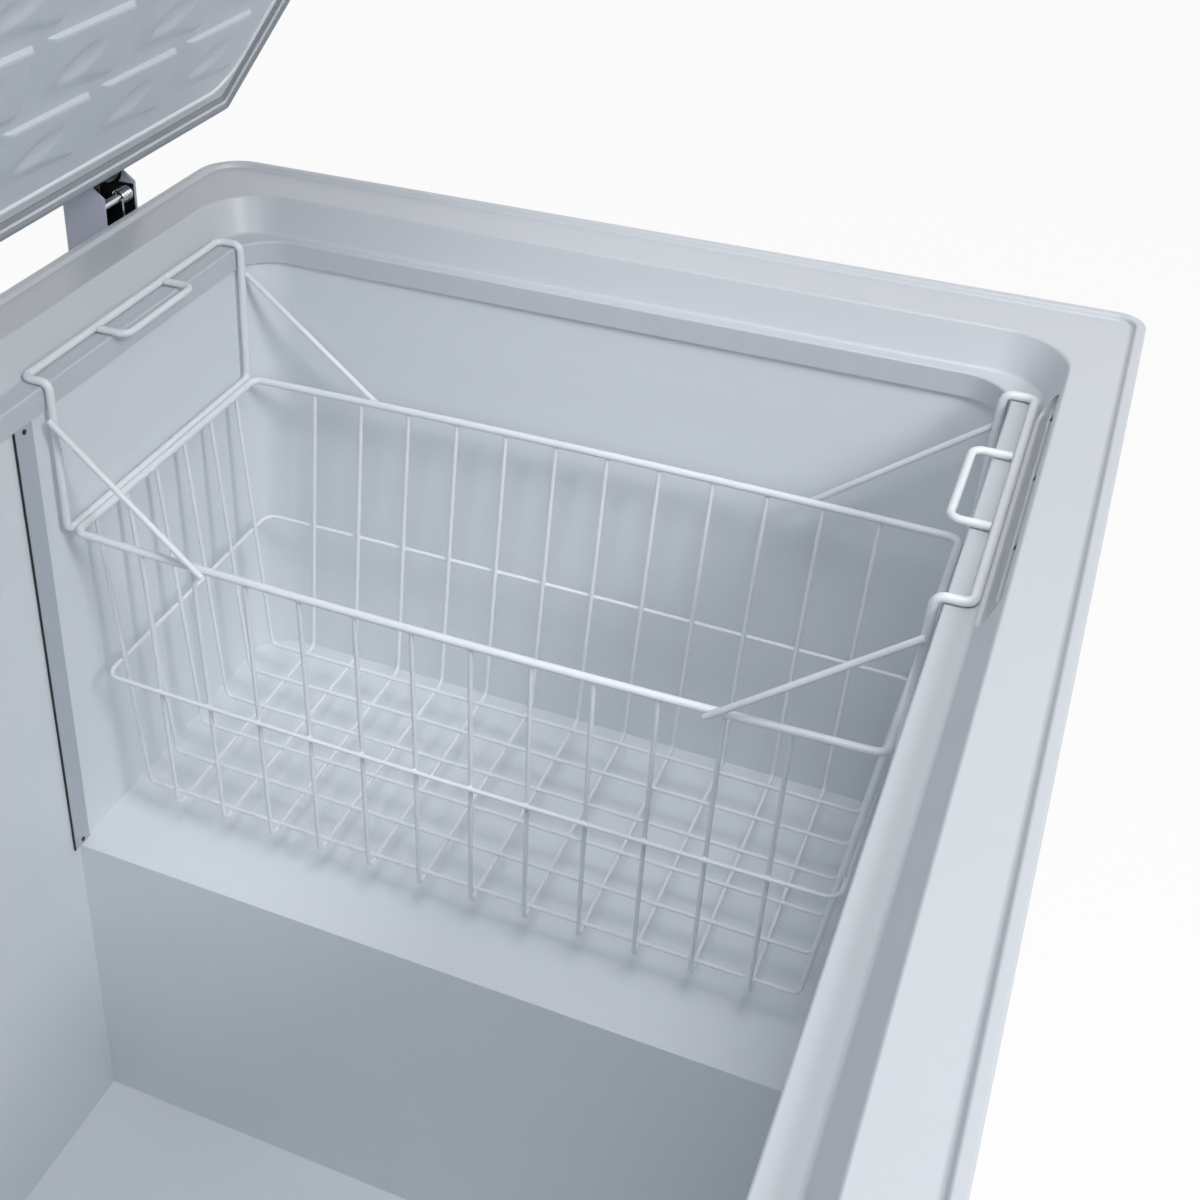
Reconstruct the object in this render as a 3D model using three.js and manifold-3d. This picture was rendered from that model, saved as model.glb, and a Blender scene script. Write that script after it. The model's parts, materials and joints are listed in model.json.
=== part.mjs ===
// Chest freezer with its lid open and a wire basket hung over the machine room.
// Millimetres, +X to the right end, +Y to the back, +Z up. The origin is on the floor
// under the middle of the whole object at rest.

import * as THREE from "three";
import { mergeVertices } from "three/addons/utils/BufferGeometryUtils.js";
import Module from "manifold-3d";

const wasm = await Module();
wasm.setup();

// ---------------------------------------------------------------------------
// Driving dimensions
// ---------------------------------------------------------------------------

const fitGap = 0.3; // between pieces that touch on the real object
const cornerSteps = 4; // straight steps in a quarter round

const cabinet = {
  length: 1100,
  depth: 620,
  rimHeight: 700, // floor to the flat top of the frame
  footHeight: 28,
  skin: 1.0,
  radiusFront: 17, // outer corners seen from above
  radiusBack: 30,
};

const frame = {
  wall: 2.5,
  skirtDrop: 26, // outer skirt, below the flat top
  beadHeight: 3,
  beadWidth: 6.5,
  flatSide: 34, // flat top, along front and back
  flatEnd: 45,
  faceRun: 10.2, // the steep inner face leans in by this much
  ledgeDrop: 23,
  ledgeSide: 15.5, // ledge that carries the basket, along front and back
  ledgeEnd: 8.5,
  ledgeChamfer: 1.5,
  trimDrop: 15.3, // vertical lip below the ledge
  radiusInner: 40, // corners of the flat top's inner edge
};

const tub = {
  wall: 1.2,
  lipOverlap: 2.2, // the liner wall stands this far behind the trim lip
  floorDrop: 603, // flat top of the frame to the floor
  humpDrop: 358,
  humpLength: 330, // from the cabinet's right end
};

const seam = { width: 16, proud: 1.2, ahead: 5.5 }; // strip at the hump's front edge

const lamp = {
  length: 225,
  centre: 215, // from the cabinet's right end
  coverWall: 2,
  recess: 1.0, // the cover lies this far behind the steep face
  housingDepth: 17,
  boardThickness: 1.6,
  ledPitch: 69,
  ledShift: 15, // the middle one lies right of the lamp's middle
  ledRadius: 3.2,
};

const foot = { padRadius: 22, padHeight: 7, stemRadius: 5, stemLength: 46, inset: 62 };

const machineRoom = {
  insulation: 50, // between the hump and the room
  slots: 7,
  slotLength: 330,
  slotHeight: 6,
  slotPitch: 22,
  slotBottom: 110,
  grilleWidth: 200,
  grilleHeight: 170,
  grilleLift: 72, // above the bottom of the cabinet
  panFlange: 14,
};

const compressor = {
  radius: 74,
  height: 158,
  lift: 20, // foot plate above the pan
  footSpan: 92, // its mounts, from its middle, along X and along Y
  footReach: 45,
  fromEnd: 128,
  y: 70,
};
const mount = { radius: 12, waist: 9, stem: 7, stemLength: 12 }; // rubber mount under the foot plate
const drier = { radius: 10, length: 98, neck: 4 };
const evaporator = { tubeRadius: 3.6, turns: 5, pitch: 46, bottom: 372, channel: 8.6 };
const condenser = {
  tubeRadius: 2.4,
  passes: 8,
  pitch: 56,
  lift: 20, // lowest pass above the compressor
  channel: 6.2,
  left: -480,
  right: 150,
  returnX: 200, // the downward run back to the machine room
  entry: 40, // both ends reach this far into the room
};

const panel = {
  width: 176,
  height: 64,
  flange: 7,
  flangeThickness: 2.4,
  boxDepth: 26,
  fromEnd: 150, // panel's middle from the cabinet's right end
  height0: 58, // lower edge above the floor
  wall: 2,
};
const knob = { radius: 19, depth: 12, shaftRadius: 3, shaftLength: 16, sides: 24 };
const rocker = { width: 14, height: 22, depth: 5.2 };
const lens = { radius: 3.4, pitch: 13 };

const drain = {
  tubeRadius: 12,
  tubeWall: 2.4,
  x: -400,
  y: -170,
  flangeRadius: 17,
  capRadius: 18,
  capDepth: 9,
};

const gland = { radius: 8, depth: 16, fromEnd: 250, z: 66 };

const hinge = {
  back: 23.6, // axis behind the frame's back edge
  up: 24.6, // axis above the frame's flat top
  fromEnd: 122, // hinge middle from the cabinet's end
  width: 38,
  plate: 2,
  depthBehind: 12,
  drop: 165, // housing below the axis
  flangeWidth: 15,
  eyeRadius: 12,
  pinRadius: 4,
  pinHead: 6.2,
  leafWidth: 60,
  leafPlate: 2.5,
  leafBottom: -2.6, // leaf plate, measured from the axis
  leafTop: 27.4,
  springWire: 1.2,
  springTurns: 5,
};

const lid = {
  gap: 8.9, // skirt above the frame's flat top, filled by the gasket
  thickness: 57,
  skin: 1.0,
  radius: 6, // outer corners seen from above
  flange: 26, // folded edge under the gasket
  edgeRound: 5,
  linerWall: 1.5,
  borderSide: 42, // where the liner steps down inside its flat border
  borderEnd: 40,
  stepRun: 5,
  borderLevel: 5, // above the frame's flat top when closed
  innerLevel: 0.8,
  panelRise: 2.5,
  panelPitchX: 88.5,
  panelPitchY: 62,
  panelLength: 79,
  panelWidth: 54,
  panelSlant: 12,
  panelMargin: 8,
  openAngle: 56.5, // degrees from closed to rest
};

// seen from the lid's edge; it clears the frame's round bead at the corners
const gasket = { inset: 8, shoulder: 15, crestInset: 18, crest: 0.3 };

const grip = { length: 260, reach: 30, height: 44, wall: 7, below: 8 };

const basket = {
  endGap: 20.5, // from the ledge's lip at the right end to the ring
  halfShort: 109.7, // top ring, along X, at its corners
  bow: 4.5, // the ring's long sides stand out by this much in their middle
  ringDrop: 118.8, // ring below the frame's flat top
  bottomDrop: 328.2,
  bottomHalfShort: 98,
  bottomTuck: 19.5, // the bottom ends this far inside the ring, front and back
  midDrop: 226.4,
  crossPitch: 35.25,
  crossEnd: 27.6, // least way from the last cross wire to the bottom's end
  longWires: 6,
  longPitch: 34.4,
  longShift: -2, // the row of long wires sits off the middle
  thick: 2.5, // wire radii
  handleWire: 2.3,
  braceWire: 2.0,
  thin: 1.3,
  bend: 6,
  hangerGap: 0.1, // between the ring and the hanger frame
  hangerReach: 16.9, // top bar outside the verticals
  handleHalf: 38,
  handleReach: 23,
  braceTop: 42, // below the frame's flat top
  braceRun: 89.3, // from the ring's end to where the brace passes it
  braceTip: 3.5, // its end goes on below the ring
};

// ---------------------------------------------------------------------------
// Levels and lines that several pieces share
// ---------------------------------------------------------------------------

const halfLength = cabinet.length / 2;
const halfDepth = cabinet.depth / 2;
const top = cabinet.rimHeight;
const shellInset = frame.wall + fitGap; // outer face of the steel shell
const insideShell = shellInset + cabinet.skin + fitGap;
const ledgeOuterSide = frame.flatSide + frame.faceRun;
const trimSide = ledgeOuterSide + frame.ledgeSide;
const trimEnd = frame.flatEnd + frame.faceRun + frame.ledgeEnd;
const tubSide = trimSide - tub.lipOverlap; // liner's inner face, front and back
const tubEnd = trimEnd - tub.lipOverlap;
const tubRadius = frame.radiusInner - frame.faceRun + tub.lipOverlap; // round the same centres as the lip
const tubOuterSide = tubSide - tub.wall;
const tubOuterEnd = tubEnd - tub.wall;
const tubTop = top - frame.ledgeDrop - frame.wall - fitGap;
const floorLevel = top - tub.floorDrop;
const humpTop = top - tub.humpDrop;
const humpFront = halfLength - tub.humpLength;
const panPlate = cabinet.skin * 1.5;
const foamBottom = cabinet.footHeight + panPlate + fitGap;
const skirtBottom = top - frame.skirtDrop;
const foamTop = Math.min(skirtBottom, top - frame.ledgeDrop - frame.wall - fitGap);
const roomFront = humpFront + machineRoom.insulation;
const roomTop = humpTop - machineRoom.insulation;
const shellFront = -(halfDepth - shellInset);
const shellBack = halfDepth - shellInset;
const axisY = halfDepth + hinge.back;
const axisZ = top + hinge.up;
const compressorX = halfLength - compressor.fromEnd;
const compressorFloor = cabinet.footHeight + panPlate + compressor.lift;
const compressorTop = compressorFloor + 4 + compressor.height;
const condenserBottom = compressorTop + condenser.lift;
const condenserY = shellFront + cabinet.skin + fitGap + condenser.tubeRadius;
const backReach = halfLength - cabinet.radiusBack - 10; // half width of the opening behind the back panel
const outletLevel = cabinet.footHeight + machineRoom.panFlange + drain.tubeRadius + 2;
const glandX = halfLength - gland.fromEnd;
const hangerOut = halfDepth - ledgeOuterSide - fitGap - basket.thick; // top bar beside the steep face
const hangerUpright = hangerOut - basket.hangerReach;
const ringHalfLong = hangerUpright - basket.hangerGap - 2 * basket.thick;
const bottomHalfLong = ringHalfLong - basket.bottomTuck;
const braceFoot = ringHalfLong - basket.braceRun;
const crossWires = Math.floor((2 * (bottomHalfLong - basket.crossEnd)) / basket.crossPitch) + 1;
const basketX = halfLength - trimEnd - basket.endGap - basket.thick - basket.halfShort;

// ---------------------------------------------------------------------------
// Shape helpers
// ---------------------------------------------------------------------------

function finish(color, roughness, metalness = 0) {
  return new THREE.MeshStandardMaterial({ color, roughness, metalness });
}

/** A manifold solid from a three.js geometry. */
function solid(geometry) {
  const bare = geometry.clone();
  bare.deleteAttribute("normal");
  bare.deleteAttribute("uv");
  const merged = mergeVertices(bare, 1e-4);
  return new wasm.Manifold(
    new wasm.Mesh({
      numProp: 3,
      vertProperties: new Float32Array(merged.attributes.position.array),
      triVerts: new Uint32Array(merged.index.array),
    }),
  );
}

/** A three.js geometry from a manifold solid. */
function geometryOf(shape) {
  const mesh = shape.getMesh();
  const geometry = new THREE.BufferGeometry();
  geometry.setAttribute("position", new THREE.BufferAttribute(new Float32Array(mesh.vertProperties), 3));
  geometry.setIndex(new THREE.BufferAttribute(new Uint32Array(mesh.triVerts), 1));
  geometry.computeVertexNormals();
  return geometry;
}

function union(...shapes) {
  return shapes.reduce((all, shape) => all.add(shape));
}

/** A block between two corners. */
function block(x0, x1, y0, y1, z0, z1) {
  const geometry = new THREE.BoxGeometry(x1 - x0, y1 - y0, z1 - z0);
  geometry.translate((x0 + x1) / 2, (y0 + y1) / 2, (z0 + z1) / 2);
  return solid(geometry);
}

/** A round bar along X, Y or Z from a start point. */
function bar(axis, radius, start, length, sides = 20) {
  const geometry = new THREE.CylinderGeometry(radius, radius, length, sides);
  if (axis === "x") geometry.rotateZ(-Math.PI / 2);
  if (axis === "z") geometry.rotateX(Math.PI / 2);
  const middle = { x: [length / 2, 0, 0], y: [0, length / 2, 0], z: [0, 0, length / 2] }[axis];
  geometry.translate(start[0] + middle[0], start[1] + middle[1], start[2] + middle[2]);
  return solid(geometry);
}

/** A (y, z) outline carried along X. */
function prismX(outline, x0, x1) {
  const shape = new THREE.Shape(outline.map(([y, z]) => new THREE.Vector2(y, z)));
  const geometry = new THREE.ExtrudeGeometry(shape, { depth: x1 - x0, bevelEnabled: false });
  // the shape's x becomes Y, its y becomes Z and its depth becomes X
  geometry.applyMatrix4(new THREE.Matrix4().set(0, 0, 1, x0, 1, 0, 0, 0, 0, 1, 0, 0, 0, 0, 0, 1));
  return solid(geometry);
}

/** A solid of revolution round Z from (radius, z) pairs that start and end on the axis. */
function turned(profile, x, y, sides = 24) {
  const geometry = new THREE.LatheGeometry(profile.map(([r, z]) => new THREE.Vector2(r, z)), sides);
  geometry.rotateX(Math.PI / 2);
  geometry.translate(x, y, 0);
  return solid(geometry);
}

/** One level of a rounded oblong, seen from above and counted anticlockwise. */
function outline({ insetX, insetY, front, back, z }) {
  const points = [];
  const hx = halfLength - insetX;
  const hy = halfDepth - insetY;
  const corners = [
    [hx - front, -hy + front, front, -0.5],
    [hx - back, hy - back, back, 0],
    [-hx + back, hy - back, back, 0.5],
    [-hx + front, -hy + front, front, 1],
  ];
  for (const [cx, cy, r, start] of corners) {
    for (let i = 0; i <= cornerSteps; i += 1) {
      const a = (start + (0.5 * i) / cornerSteps) * Math.PI;
      points.push([cx + r * Math.cos(a), cy + r * Math.sin(a), z]);
    }
  }
  return points;
}

/** Outer corners keep their centres as the outline moves in. */
function outerLoop(inset, z) {
  const front = Math.max(cabinet.radiusFront - inset, 1.5);
  const back = Math.max(cabinet.radiusBack - inset, 1.5);
  return outline({ insetX: inset, insetY: inset, front, back, z });
}

function innerLoop(insetX, insetY, radius, z) {
  return outline({ insetX, insetY, front: radius, back: radius, z });
}

/** The lid is folded from sheet, so its corners are tighter than the cabinet's. */
function lidLoop(inset, z) {
  return innerLoop(inset, inset, Math.max(lid.radius - inset, 1.5), z);
}

/** Skins over equal loops of points; closed joins the last loop to the first, else both ends are capped. */
function skinned(loops, closed) {
  const count = loops[0].length;
  const positions = loops.flat(2);
  const triangles = [];
  const bands = closed ? loops.length : loops.length - 1;
  for (let band = 0; band < bands; band += 1) {
    const a = band * count;
    const b = ((band + 1) % loops.length) * count;
    for (let i = 0; i < count; i += 1) {
      const j = (i + 1) % count;
      triangles.push(a + i, a + j, b + j, a + i, b + j, b + i);
    }
  }
  if (!closed) {
    const last = (loops.length - 1) * count;
    for (let i = 1; i < count - 1; i += 1) {
      triangles.push(0, i + 1, i);
      triangles.push(last, last + i, last + i + 1);
    }
  }
  if (signedVolume(positions, triangles) < 0) {
    for (let i = 0; i < triangles.length; i += 3) {
      [triangles[i], triangles[i + 1]] = [triangles[i + 1], triangles[i]];
    }
  }
  const geometry = new THREE.BufferGeometry();
  geometry.setAttribute("position", new THREE.Float32BufferAttribute(positions, 3));
  geometry.setIndex(triangles);
  return solid(geometry);
}

function signedVolume(positions, triangles) {
  const corner = (i) => new THREE.Vector3(positions[3 * i], positions[3 * i + 1], positions[3 * i + 2]);
  let volume = 0;
  for (let i = 0; i < triangles.length; i += 3) {
    const [a, b, c] = [corner(triangles[i]), corner(triangles[i + 1]), corner(triangles[i + 2])];
    volume += a.dot(b.cross(c)) / 6;
  }
  return volume;
}

const ring = (loops) => skinned(loops, true);
const vessel = (loops) => skinned(loops, false);

/** Replaces each inner corner of a line of points with an arc. */
function filleted(points, radius, steps, closed = false) {
  const at = points.map((p) => new THREE.Vector3(...p));
  const out = [];
  at.forEach((corner, i) => {
    if (!closed && (i === 0 || i === at.length - 1)) {
      out.push(corner);
      return;
    }
    const before = at[(i + at.length - 1) % at.length].clone().sub(corner).normalize();
    const after = at[(i + 1) % at.length].clone().sub(corner).normalize();
    const half = before.angleTo(after) / 2;
    const reach = radius / Math.tan(half);
    const bisector = before.clone().add(after).normalize();
    const centre = corner.clone().addScaledVector(bisector, radius / Math.sin(half));
    const from = corner.clone().addScaledVector(before, reach).sub(centre);
    const to = corner.clone().addScaledVector(after, reach).sub(centre);
    const sweep = from.angleTo(to);
    for (let k = 0; k <= steps; k += 1) {
      const t = k / steps;
      const a = Math.sin((1 - t) * sweep) / Math.sin(sweep);
      const b = Math.sin(t * sweep) / Math.sin(sweep);
      out.push(centre.clone().addScaledVector(from, a).addScaledVector(to, b));
    }
  });
  return out;
}

/** A wire of equal section through a line of points, mitred where it bends. */
function wire(points, radius, sides, side, closed = false) {
  const count = points.length;
  const spans = closed ? count : count - 1;
  const along = [];
  for (let i = 0; i < spans; i += 1) along.push(points[(i + 1) % count].clone().sub(points[i]).normalize());
  const u = side.clone().addScaledVector(along[0], -side.dot(along[0])).normalize();
  const turn = new THREE.Quaternion();
  const loops = [];
  for (let i = 0; i < count; i += 1) {
    const into = along[closed ? (i + spans - 1) % spans : Math.max(i - 1, 0)];
    const out = along[Math.min(i, spans - 1)];
    if (i > 0) u.applyQuaternion(turn.setFromUnitVectors(along[Math.max(i - 2, 0)], along[i - 1]));
    const direction = i === 0 ? out : into;
    const v = direction.clone().cross(u);
    const mitre = into.clone().add(out).normalize();
    const section = [];
    for (let k = 0; k < sides; k += 1) {
      const a = ((k + 0.5) / sides) * 2 * Math.PI;
      const offset = u.clone().multiplyScalar(radius * Math.cos(a));
      offset.addScaledVector(v, radius * Math.sin(a));
      offset.addScaledVector(direction, -offset.dot(mitre) / direction.dot(mitre));
      section.push(points[i].clone().add(offset).toArray());
    }
    loops.push(section);
  }
  return skinned(loops, closed);
}

/** A level closed rectangle of wire whose long sides, along Y, bow outwards. */
function wireOblong({ halfX, halfY, z, radius, sides, bend, steps, bow, bowSpans }) {
  const corners = [
    [halfX, -halfY, z],
    [halfX, halfY, z],
    [-halfX, halfY, z],
    [-halfX, -halfY, z],
  ];
  const line = [];
  filleted(corners, bend, steps, true).forEach((point, i, all) => {
    line.push(point);
    const next = all[(i + 1) % all.length];
    if (Math.abs(next.y - point.y) < halfY) return;
    for (let k = 1; k < bowSpans; k += 1) line.push(point.clone().lerp(next, k / bowSpans));
  });
  for (const point of line) point.x += Math.sign(point.x) * bowed(bow, point.y / halfY);
  return wire(line, radius, sides, new THREE.Vector3(0, 0, 1), true);
}

/** How far a bowed side stands out at a share of its half length. */
function bowed(bow, share) {
  return bow * (1 - share ** 2);
}

// ---------------------------------------------------------------------------
// Finishes
// ---------------------------------------------------------------------------

const paintWhite = finish(0xe4e7ea, 0.35);
const mouldedWhite = finish(0xd8dce2, 0.4);
const linerCoat = finish(0xc6cdd4, 0.38, 0.1);
const seamGrey = finish(0x9ba3aa, 0.5, 0.3);
const wireWhite = finish(0xeef1f4, 0.3);
const lidCoat = finish(0xc3cad2, 0.35);
const gasketGrey = finish(0x8d929b, 0.6);
const foamTan = finish(0xe3d9b4, 0.9);
const zincSteel = finish(0xb3b7ba, 0.4, 0.9);
const chrome = finish(0xd5d8dc, 0.15, 1);
const copper = finish(0xb87345, 0.35, 1);
const black = finish(0x16181a, 0.5);
const rubber = finish(0x1d1e20, 0.8);
const clear = finish(0xe6ecf0, 0.1);

// ---------------------------------------------------------------------------
// The scene graph
// ---------------------------------------------------------------------------

const freezer = new THREE.Group();
const lidPivot = new THREE.Group(); // its origin is the hinge axis
lidPivot.position.set(0, axisY, axisZ);
lidPivot.rotation.x = THREE.MathUtils.degToRad(-lid.openAngle);

function add(name, shape, material, group = freezer) {
  const geometry = geometryOf(shape);
  if (group === lidPivot) geometry.translate(0, -axisY, -axisZ); // lid pieces are drawn closed
  const mesh = new THREE.Mesh(geometry, material);
  mesh.name = name;
  group.add(mesh);
  return mesh;
}

const bothEnds = [
  ["left", -1],
  ["right", 1],
];

// ---------------------------------------------------------------------------
// Cabinet
// ---------------------------------------------------------------------------

function topFrame() {
  const { wall, flatSide, flatEnd, faceRun, ledgeDrop, ledgeChamfer, trimDrop, radiusInner } = frame;
  const face = faceRun / ledgeDrop; // lean of the steep face
  const inner = (onFlat, z) => innerLoop(flatEnd + onFlat, flatSide + onFlat, radiusInner - onFlat, z);
  const lip = (inset, z) => innerLoop(trimEnd - inset, trimSide - inset, radiusInner - faceRun + inset, z);
  const shape = ring([
    outerLoop(0, top - frame.skirtDrop),
    outerLoop(0, top + frame.beadHeight - 1),
    outerLoop(1, top + frame.beadHeight),
    outerLoop(frame.beadWidth - 1.5, top + frame.beadHeight),
    outerLoop(frame.beadWidth, top),
    inner(0, top),
    inner(faceRun, top - ledgeDrop),
    lip(ledgeChamfer, top - ledgeDrop),
    lip(0, top - ledgeDrop - ledgeChamfer),
    lip(0, top - ledgeDrop - trimDrop),
    lip(wall - 0.5, top - ledgeDrop - trimDrop),
    lip(wall - 0.5, top - ledgeDrop - wall),
    inner(faceRun - wall, top - ledgeDrop - wall),
    inner(-wall + face, top - wall),
    outerLoop(wall, top - wall),
    outerLoop(wall, top - frame.skirtDrop),
  ]);
  const middle = halfLength - lamp.centre;
  const window = block(
    middle - lamp.length / 2, middle + lamp.length / 2,
    -halfDepth + flatSide - 3 * wall, -halfDepth + flatSide + faceRun + 3,
    top - ledgeDrop + 0.8, top - wall - 0.8,
  );
  return shape.subtract(window);
}
add("top_frame", topFrame(), mouldedWhite);

function tubBlock(insetX, insetY, radius, bottom, upTo) {
  return vessel([innerLoop(insetX, insetY, radius, bottom), innerLoop(insetX, insetY, radius, upTo)]);
}

function hollowTub(grow) {
  // the tub's space, grown outwards: its floor, walls and hump faces move together
  const space = tubBlock(tubEnd - grow, tubSide - grow, tubRadius + grow, floorLevel - grow, top);
  const step = block(humpFront + grow, halfLength, -halfDepth, halfDepth, 0, humpTop - grow);
  return space.subtract(step);
}

function liner() {
  const above = block(-halfLength, halfLength, -halfDepth, halfDepth, tubTop, top + 1);
  const drainHole = bar("z", drain.tubeRadius + fitGap, [drain.x, drain.y, floorLevel - 10], 20, 24);
  return hollowTub(tub.wall).subtract(hollowTub(0)).subtract(above).subtract(drainHole);
}
add("inner_liner", liner(), linerCoat);

for (const [side, sign] of [["front", -1], ["back", 1]]) {
  const wallFace = sign * (halfDepth - tubSide - fitGap);
  const proudFace = wallFace - sign * seam.proud;
  const strip = block(
    humpFront - seam.ahead, humpFront - seam.ahead + seam.width,
    Math.min(wallFace, proudFace), Math.max(wallFace, proudFace),
    humpTop + fitGap, top - frame.ledgeDrop - frame.trimDrop - fitGap,
  );
  add(`liner_seam_strip_${side}`, strip, seamGrey);
}

function cabinetShell() {
  const wrap = ring([
    outerLoop(shellInset, cabinet.footHeight),
    outerLoop(shellInset, top - frame.wall - fitGap),
    outerLoop(shellInset + cabinet.skin, top - frame.wall - fitGap),
    outerLoop(shellInset + cabinet.skin, cabinet.footHeight),
  ]);
  const backOpening = block(-backReach, backReach, halfDepth - 12, halfDepth, 0, top);
  const { fromEnd, width, height, height0 } = panel;
  const panelHole = block(
    halfLength - fromEnd - width / 2 - fitGap, halfLength - fromEnd + width / 2 + fitGap,
    -halfDepth, shellFront + 10, height0 - fitGap, height0 + height + fitGap,
  );
  const outlet = bar("y", drain.tubeRadius + fitGap, [drain.x, -halfDepth - 2, outletLevel], 12, 24);
  return louvres().reduce((shell, slot) => shell.subtract(slot), wrap.subtract(backOpening))
    .subtract(panelHole).subtract(outlet);
}

/** Slots in the right side that the machine room breathes through. */
function louvres() {
  const half = machineRoom.slotLength / 2;
  return Array.from({ length: machineRoom.slots }, (_, i) => {
    const z = machineRoom.slotBottom + i * machineRoom.slotPitch;
    return block(halfLength - 12, halfLength, -half, half, z, z + machineRoom.slotHeight);
  });
}

add("cabinet_shell", cabinetShell(), paintWhite);

const roomOpening = {
  x0: backReach - 20 - machineRoom.grilleWidth,
  x1: backReach - 20,
  z0: cabinet.footHeight + machineRoom.grilleLift,
  z1: cabinet.footHeight + machineRoom.grilleLift + machineRoom.grilleHeight,
};

function backPanel() {
  const reach = backReach - fitGap;
  const sheet = block(-reach, reach, shellBack - cabinet.skin, shellBack, cabinet.footHeight, skirtBottom);
  const { x0, x1, z0, z1 } = roomOpening;
  const opening = block(x0, x1, shellBack - 10, shellBack + 10, z0, z1);
  const inlet = bar("y", gland.radius + fitGap, [glandX, shellBack - 8, gland.z], 16, 16);
  return sheet.subtract(opening).subtract(inlet);
}
add("back_panel", backPanel(), zincSteel);

function machineRoomGrille() {
  const { x0, x1, z0, z1 } = roomOpening;
  const lip = 10;
  const face = shellBack + fitGap;
  let cover = union(
    block(x0 - lip, x1 + lip, face, face + 1.5, z0 - lip, z1 + lip),
    block(x0 + fitGap, x1 - fitGap, face - 5, face + 0.5, z0 + fitGap, z1 - fitGap),
  );
  const rows = 8;
  const pitch = (z1 - z0 - 20) / rows;
  for (let i = 0; i < rows; i += 1) {
    const z = z0 + 14 + i * pitch;
    cover = cover.subtract(block(x0 + 14, x1 - 14, face - 8, face + 8, z, z + pitch / 2));
  }
  return cover;
}
add("machine_room_grille", machineRoomGrille(), zincSteel);

const footPlaces = [
  ["front_left", -1, -1],
  ["front_right", 1, -1],
  ["back_left", -1, 1],
  ["back_right", 1, 1],
].map(([name, sx, sy]) => [name, sx * (halfLength - foot.inset), sy * (halfDepth - foot.inset)]);

function basePan() {
  const { footHeight } = cabinet;
  const low = footHeight;
  const high = footHeight + machineRoom.panFlange;
  let pan = vessel([
    outerLoop(insideShell + panPlate, low + panPlate),
    outerLoop(insideShell + panPlate, high),
    outerLoop(insideShell, high),
    outerLoop(insideShell, low),
  ].reverse());
  // the loops above make an open tray: the floor between them is the plate
  for (const [, x, y] of footPlaces) {
    pan = pan.subtract(bar("z", foot.stemRadius + fitGap, [x, y, low - 5], 20, 16));
  }
  return pan;
}
add("base_pan", basePan(), zincSteel);

for (const [name, x, y] of footPlaces) {
  const { padRadius, padHeight, stemRadius, stemLength } = foot;
  const collar = cabinet.footHeight - fitGap;
  const shape = turned([
    [0, 0], [padRadius - 2, 0], [padRadius, 2], [padRadius, padHeight], [padRadius * 0.6, padHeight + 5],
    [stemRadius + 4, collar], [stemRadius, collar], [stemRadius, stemLength], [0, stemLength],
  ], x, y, 12);
  add(`foot_${name}`, shape, black);
}

/** One level lap round the liner's outside, where the evaporator's tube runs. */
function evaporatorLap() {
  const inset = fitGap + evaporator.tubeRadius;
  return innerLoop(tubOuterEnd - inset, tubOuterSide - inset, tubRadius + tub.wall + inset, 0);
}

/** The suction line climbs from the compressor's side, then the tube winds up round the liner. */
function evaporatorCoil() {
  const { tubeRadius, turns, pitch, bottom } = evaporator;
  const lap = evaporatorLap();
  const [startX, startY] = lap[0];
  const shellSide = compressor.y - compressor.radius - fitGap;
  const level = compressorFloor + 4 + 0.4 * compressor.height;
  const points = filleted([
    [compressorX, shellSide, level],
    [compressorX, startY, level],
    [startX, startY, level],
    [startX, startY, bottom],
    [lap[1][0], lap[1][1], bottom + pitch / lap.length],
  ], 13, 2);
  for (let step = 2; step < turns * lap.length; step += 1) {
    const [x, y] = lap[step % lap.length];
    points.push(new THREE.Vector3(x, y, bottom + (step / lap.length) * pitch));
  }
  return wire(points, tubeRadius, 6, new THREE.Vector3(0, 0, 1));
}
add("evaporator_coil", evaporatorCoil(), copper);

/** Rises from the machine room in level passes and comes back down beside them. */
function condenserCoil() {
  const { tubeRadius, passes, pitch, left, right, returnX, entry } = condenser;
  const corners = [];
  for (let pass = 0; pass < passes; pass += 1) {
    const z = condenserBottom + pass * pitch;
    const start = pass === 0 ? roomFront + entry : right;
    const end = pass === passes - 1 ? returnX : right;
    corners.push(...(pass % 2 === 0 ? [[start, z], [left, z]] : [[left, z], [end, z]]));
  }
  const down = condenserBottom - pitch / 2;
  corners.push([returnX, down], [roomFront + entry, down]);
  const line = corners.map(([x, z]) => [x, condenserY, z]);
  line.push([roomFront + entry, condenserY + pitch / 2, down]);
  return wire(filleted(line, pitch / 2 - 3, 3), tubeRadius, 6, new THREE.Vector3(0, 1, 0));
}
add("condenser_coil", condenserCoil(), copper);

function drainLine() {
  return filleted([
    [drain.x, drain.y, floorLevel],
    [drain.x, drain.y, outletLevel],
    [drain.x, shellFront - fitGap, outletLevel],
  ], drain.tubeRadius + 4, 4);
}

function drainTube() {
  const side = new THREE.Vector3(1, 0, 0);
  const line = drainLine();
  const bore = line.map((p) => p.clone());
  bore[0].z += 5;
  bore[bore.length - 1].y -= 5;
  const outer = wire(line, drain.tubeRadius, 16, side);
  return outer.subtract(wire(bore, drain.tubeRadius - drain.tubeWall, 16, side));
}
add("drain_tube", drainTube(), mouldedWhite);

function drainPlug() {
  const stem = drain.tubeRadius - drain.tubeWall - fitGap;
  const lift = floorLevel + fitGap;
  return turned([
    [0, lift - 14], [stem - 1.5, lift - 14], [stem, lift - 10], [stem, lift], [drain.flangeRadius, lift],
    [drain.flangeRadius, lift + 1.6], [stem, lift + 3], [4, lift + 3], [4, lift + 9], [0, lift + 9],
  ], drain.x, drain.y, 16);
}
add("drain_plug", drainPlug(), mouldedWhite);

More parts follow.
